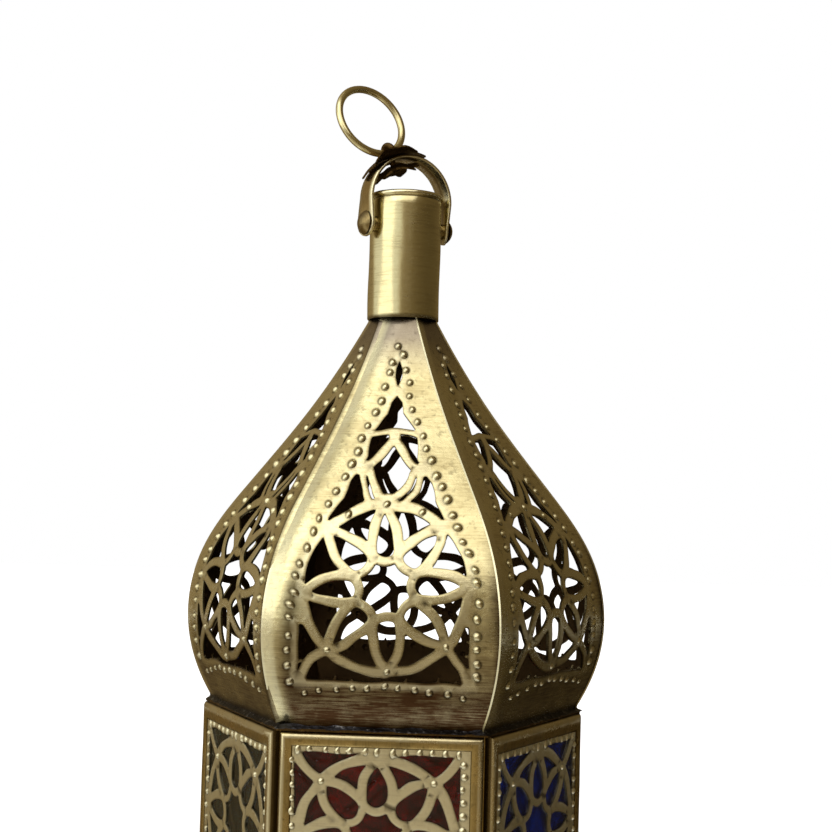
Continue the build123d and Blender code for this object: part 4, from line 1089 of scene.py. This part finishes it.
# View: the camera of the photograph, level with the dome and a little right of the middle.
# It was fitted to the hexagon's edges, the outline of the dome and the tube.
LENS, SENSOR = 60.85, 36.0
CAMERA_DISTANCE = 636.035
CAMERA_TURN = math.radians(2.874)
CAMERA_HEIGHT = 279.654
PAN = math.radians(-0.647)
PITCH = math.radians(3.043)
ROLL = math.radians(1.566)
camera_data = bpy.data.cameras.new("camera")
camera_data.lens = LENS
camera_data.sensor_width = SENSOR
camera_data.sensor_fit = "HORIZONTAL"
camera = new_object("camera", camera_data)
azimuth = CAMERA_TURN + PAN
level = Vector((math.cos(azimuth), math.sin(azimuth), 0))
ahead = Vector((-math.sin(azimuth) * math.cos(PITCH), math.cos(azimuth) * math.cos(PITCH), math.sin(PITCH)))
above = level.cross(ahead)
right = level * math.cos(ROLL) + above * math.sin(ROLL)
over = above * math.cos(ROLL) - level * math.sin(ROLL)
eye = Vector((CAMERA_DISTANCE * math.sin(CAMERA_TURN), -CAMERA_DISTANCE * math.cos(CAMERA_TURN),
              CAMERA_HEIGHT))
facing = Matrix((right, over, -ahead)).transposed().to_4x4()
camera.matrix_world = Matrix.Translation(eye * MM) @ facing
bpy.context.scene.camera = camera

# Studio: a pale floor and a white surround, a large soft light overhead in front and one at the left.
# A dim cloth tent, which only the metal's reflections see, gives the brass something dark to mirror.
PAINT = "#f4f2ee"
WHITE = (1.0, 1.0, 1.0, 1.0)
FLOOR_REACH = 4.0
SHADOW_REACH = (0.22, 0.85)   # m from the lantern where the floor's own light starts and reaches white
SHADOW_LIGHT = 0.42


def seen_directly(tree):
    """One for rays from the camera, from a mirror or through glass, and nil for the rest."""
    from_camera, from_mirror, through_glass = [
        add_node(tree, "LightPath", {}, kind)
        for kind in ("Is Camera Ray", "Is Glossy Ray", "Is Transmission Ray")]
    mirrored = add_node(tree, "Math", {0: from_camera, 1: from_mirror}, operation="MAXIMUM")
    return add_node(tree, "Math", {0: mirrored, 1: through_glass}, operation="MAXIMUM")


# Matt pale paint. The eye sees white that runs into the background, with a soft shadow near the lantern.
floor_paint, tree, shader, place = new_material("pale_floor_paint")
away = add_node(tree, "VectorMath", {0: place}, "Value", operation="LENGTH")
lift = add_node(tree, "MapRange", {
    "Value": away, "From Min": SHADOW_REACH[0], "From Max": SHADOW_REACH[1], "To Min": SHADOW_LIGHT})
glow = add_node(tree, "Math", {0: lift, 1: seen_directly(tree)}, operation="MULTIPLY")
feed(tree, shader, {"Base Color": srgb(PAINT), "Roughness": 0.8, "Emission Color": WHITE,
                    "Emission Strength": glow})
floor_mesh = bpy.data.meshes.new("floor")
floor_mesh.from_pydata([(u * FLOOR_REACH, v * FLOOR_REACH, 0) for u, v in corners], [], [(0, 1, 2, 3)])
floor_mesh.materials.append(floor_paint)
floor = new_object("floor", floor_mesh)

TENT_SHADE = "#ffda98"
TENT_LIGHT = "#fffcf0"
TENT_RADIUS = 1.9
TENT_RIBS, TENT_HOOPS = 72, 22
TENT_FOOT, APRON_HEIGHT = 0.02, 0.004
APRON_INNER = 0.22
APRON_FRONT = 0.34
WINDOW = (212.0, 50.0)       # degrees round from +x to the opening at the left, and half its width
WINDOW_GLOW = 0.78
SILL = (209.0, 14.0)         # the same for the bright strip below it


def window_share(turn, opening):
    """How much of the light of an opening shows in a direction."""
    off = abs((math.degrees(turn) - opening[0] + 180) % 360 - 180)
    return min(max((opening[1] + 5 - off) / 10, 0), 1)


turns = [2 * math.pi * rib / TENT_RIBS for rib in range(TENT_RIBS)]
points, glows = [], []
for hoop in range(TENT_HOOPS + 1):
    rise = math.radians(88 * hoop / TENT_HOOPS)
    radius = TENT_RADIUS * math.cos(rise)
    for turn in turns:
        points.append((radius * math.cos(turn), radius * math.sin(turn),
                       TENT_FOOT + TENT_RADIUS * math.sin(rise)))
        leftward, backward = -math.cos(turn), math.sin(turn)
        closing = min(max((80 - math.degrees(rise)) / 12, 0), 1)
        window = window_share(turn, WINDOW if hoop > 1 else SILL) * closing
        dim = 0.16 + 0.10 * leftward + 0.02 * backward + 0.14 * math.sin(rise) * (0.7 - 0.5 * backward)
        glows.append(dim + (WINDOW_GLOW - dim) * window)
for radius, front in ((TENT_RADIUS, 0.0), (APRON_INNER, APRON_FRONT)):
    for turn in turns:
        points.append((radius * math.cos(turn), radius * math.sin(turn), APRON_HEIGHT))
        forward = max(-math.sin(turn), 0)
        dim = 0.13 - 0.085 * math.cos(turn)
        glows.append(dim + (0.04 + front) * forward + 0.4 * window_share(turn, SILL))
faces = band_faces(TENT_HOOPS + 3, TENT_RIBS, closed=False, turned=True)
del faces[TENT_HOOPS * TENT_RIBS:(TENT_HOOPS + 1) * TENT_RIBS]   # the top is not joined to the apron
tent_mesh = bpy.data.meshes.new("cloth_tent")
tent_mesh.from_pydata(points, [], faces)
add_values(tent_mesh, "glow", glows)

# Lit cloth. The eye sees it only in the metal, as warm shade with one pale window.
tent_cloth = bpy.data.materials.new("dim_tent_cloth")
tent_cloth.use_nodes = True
tree = tent_cloth.node_tree
tree.nodes.clear()
lit = add_node(tree, "Attribute", {}, "Fac", attribute_name="glow")
whiter = add_node(tree, "MapRange", {"Value": lit, "From Min": 0.18, "From Max": 0.80})
hue = add_node(tree, "Mix", {0: whiter, 6: srgb(TENT_SHADE), 7: srgb(TENT_LIGHT)}, 2, data_type="RGBA")
cloth = add_node(tree, "Emission", {"Color": hue, "Strength": lit})
add_node(tree, "OutputMaterial", {0: cloth})
tent_mesh.materials.append(tent_cloth)
tent = new_object("cloth_tent", tent_mesh)
tent.visible_camera = tent.visible_diffuse = tent.visible_transmission = tent.visible_shadow = False

AIM = Vector((0, 0, 0.27))
for name, spot, size, watts, colour in (
        ("overhead_softbox", (-0.15, -0.85, 1.30), (1.7, 1.2), 7.3, "#fffaf0"),
        ("left_panel", (-1.25, -0.85, 0.78), (1.25, 1.0), 3.2, "#fff8ea")):
    lamp = bpy.data.lights.new(name, "AREA")
    lamp.shape = "RECTANGLE"
    lamp.size, lamp.size_y = size
    lamp.energy = watts
    lamp.color = srgb(colour)[:3]
    holder = new_object(name, lamp)
    holder.location = spot
    holder.rotation_euler = (AIM - Vector(spot)).to_track_quat("-Z", "Y").to_euler()

FILL = 0.35
world = bpy.data.worlds.new("studio")
bpy.context.scene.world = world
world.use_nodes = True
tree = world.node_tree
tree.nodes.clear()
fill = add_node(tree, "Background", {"Color": WHITE, "Strength": FILL})
white = add_node(tree, "Background", {"Color": WHITE, "Strength": 1.0})
both = add_node(tree, "MixShader", {0: seen_directly(tree), 1: fill, 2: white})
add_node(tree, "OutputWorld", {0: both})
bpy.context.scene.view_settings.view_transform = "Standard"
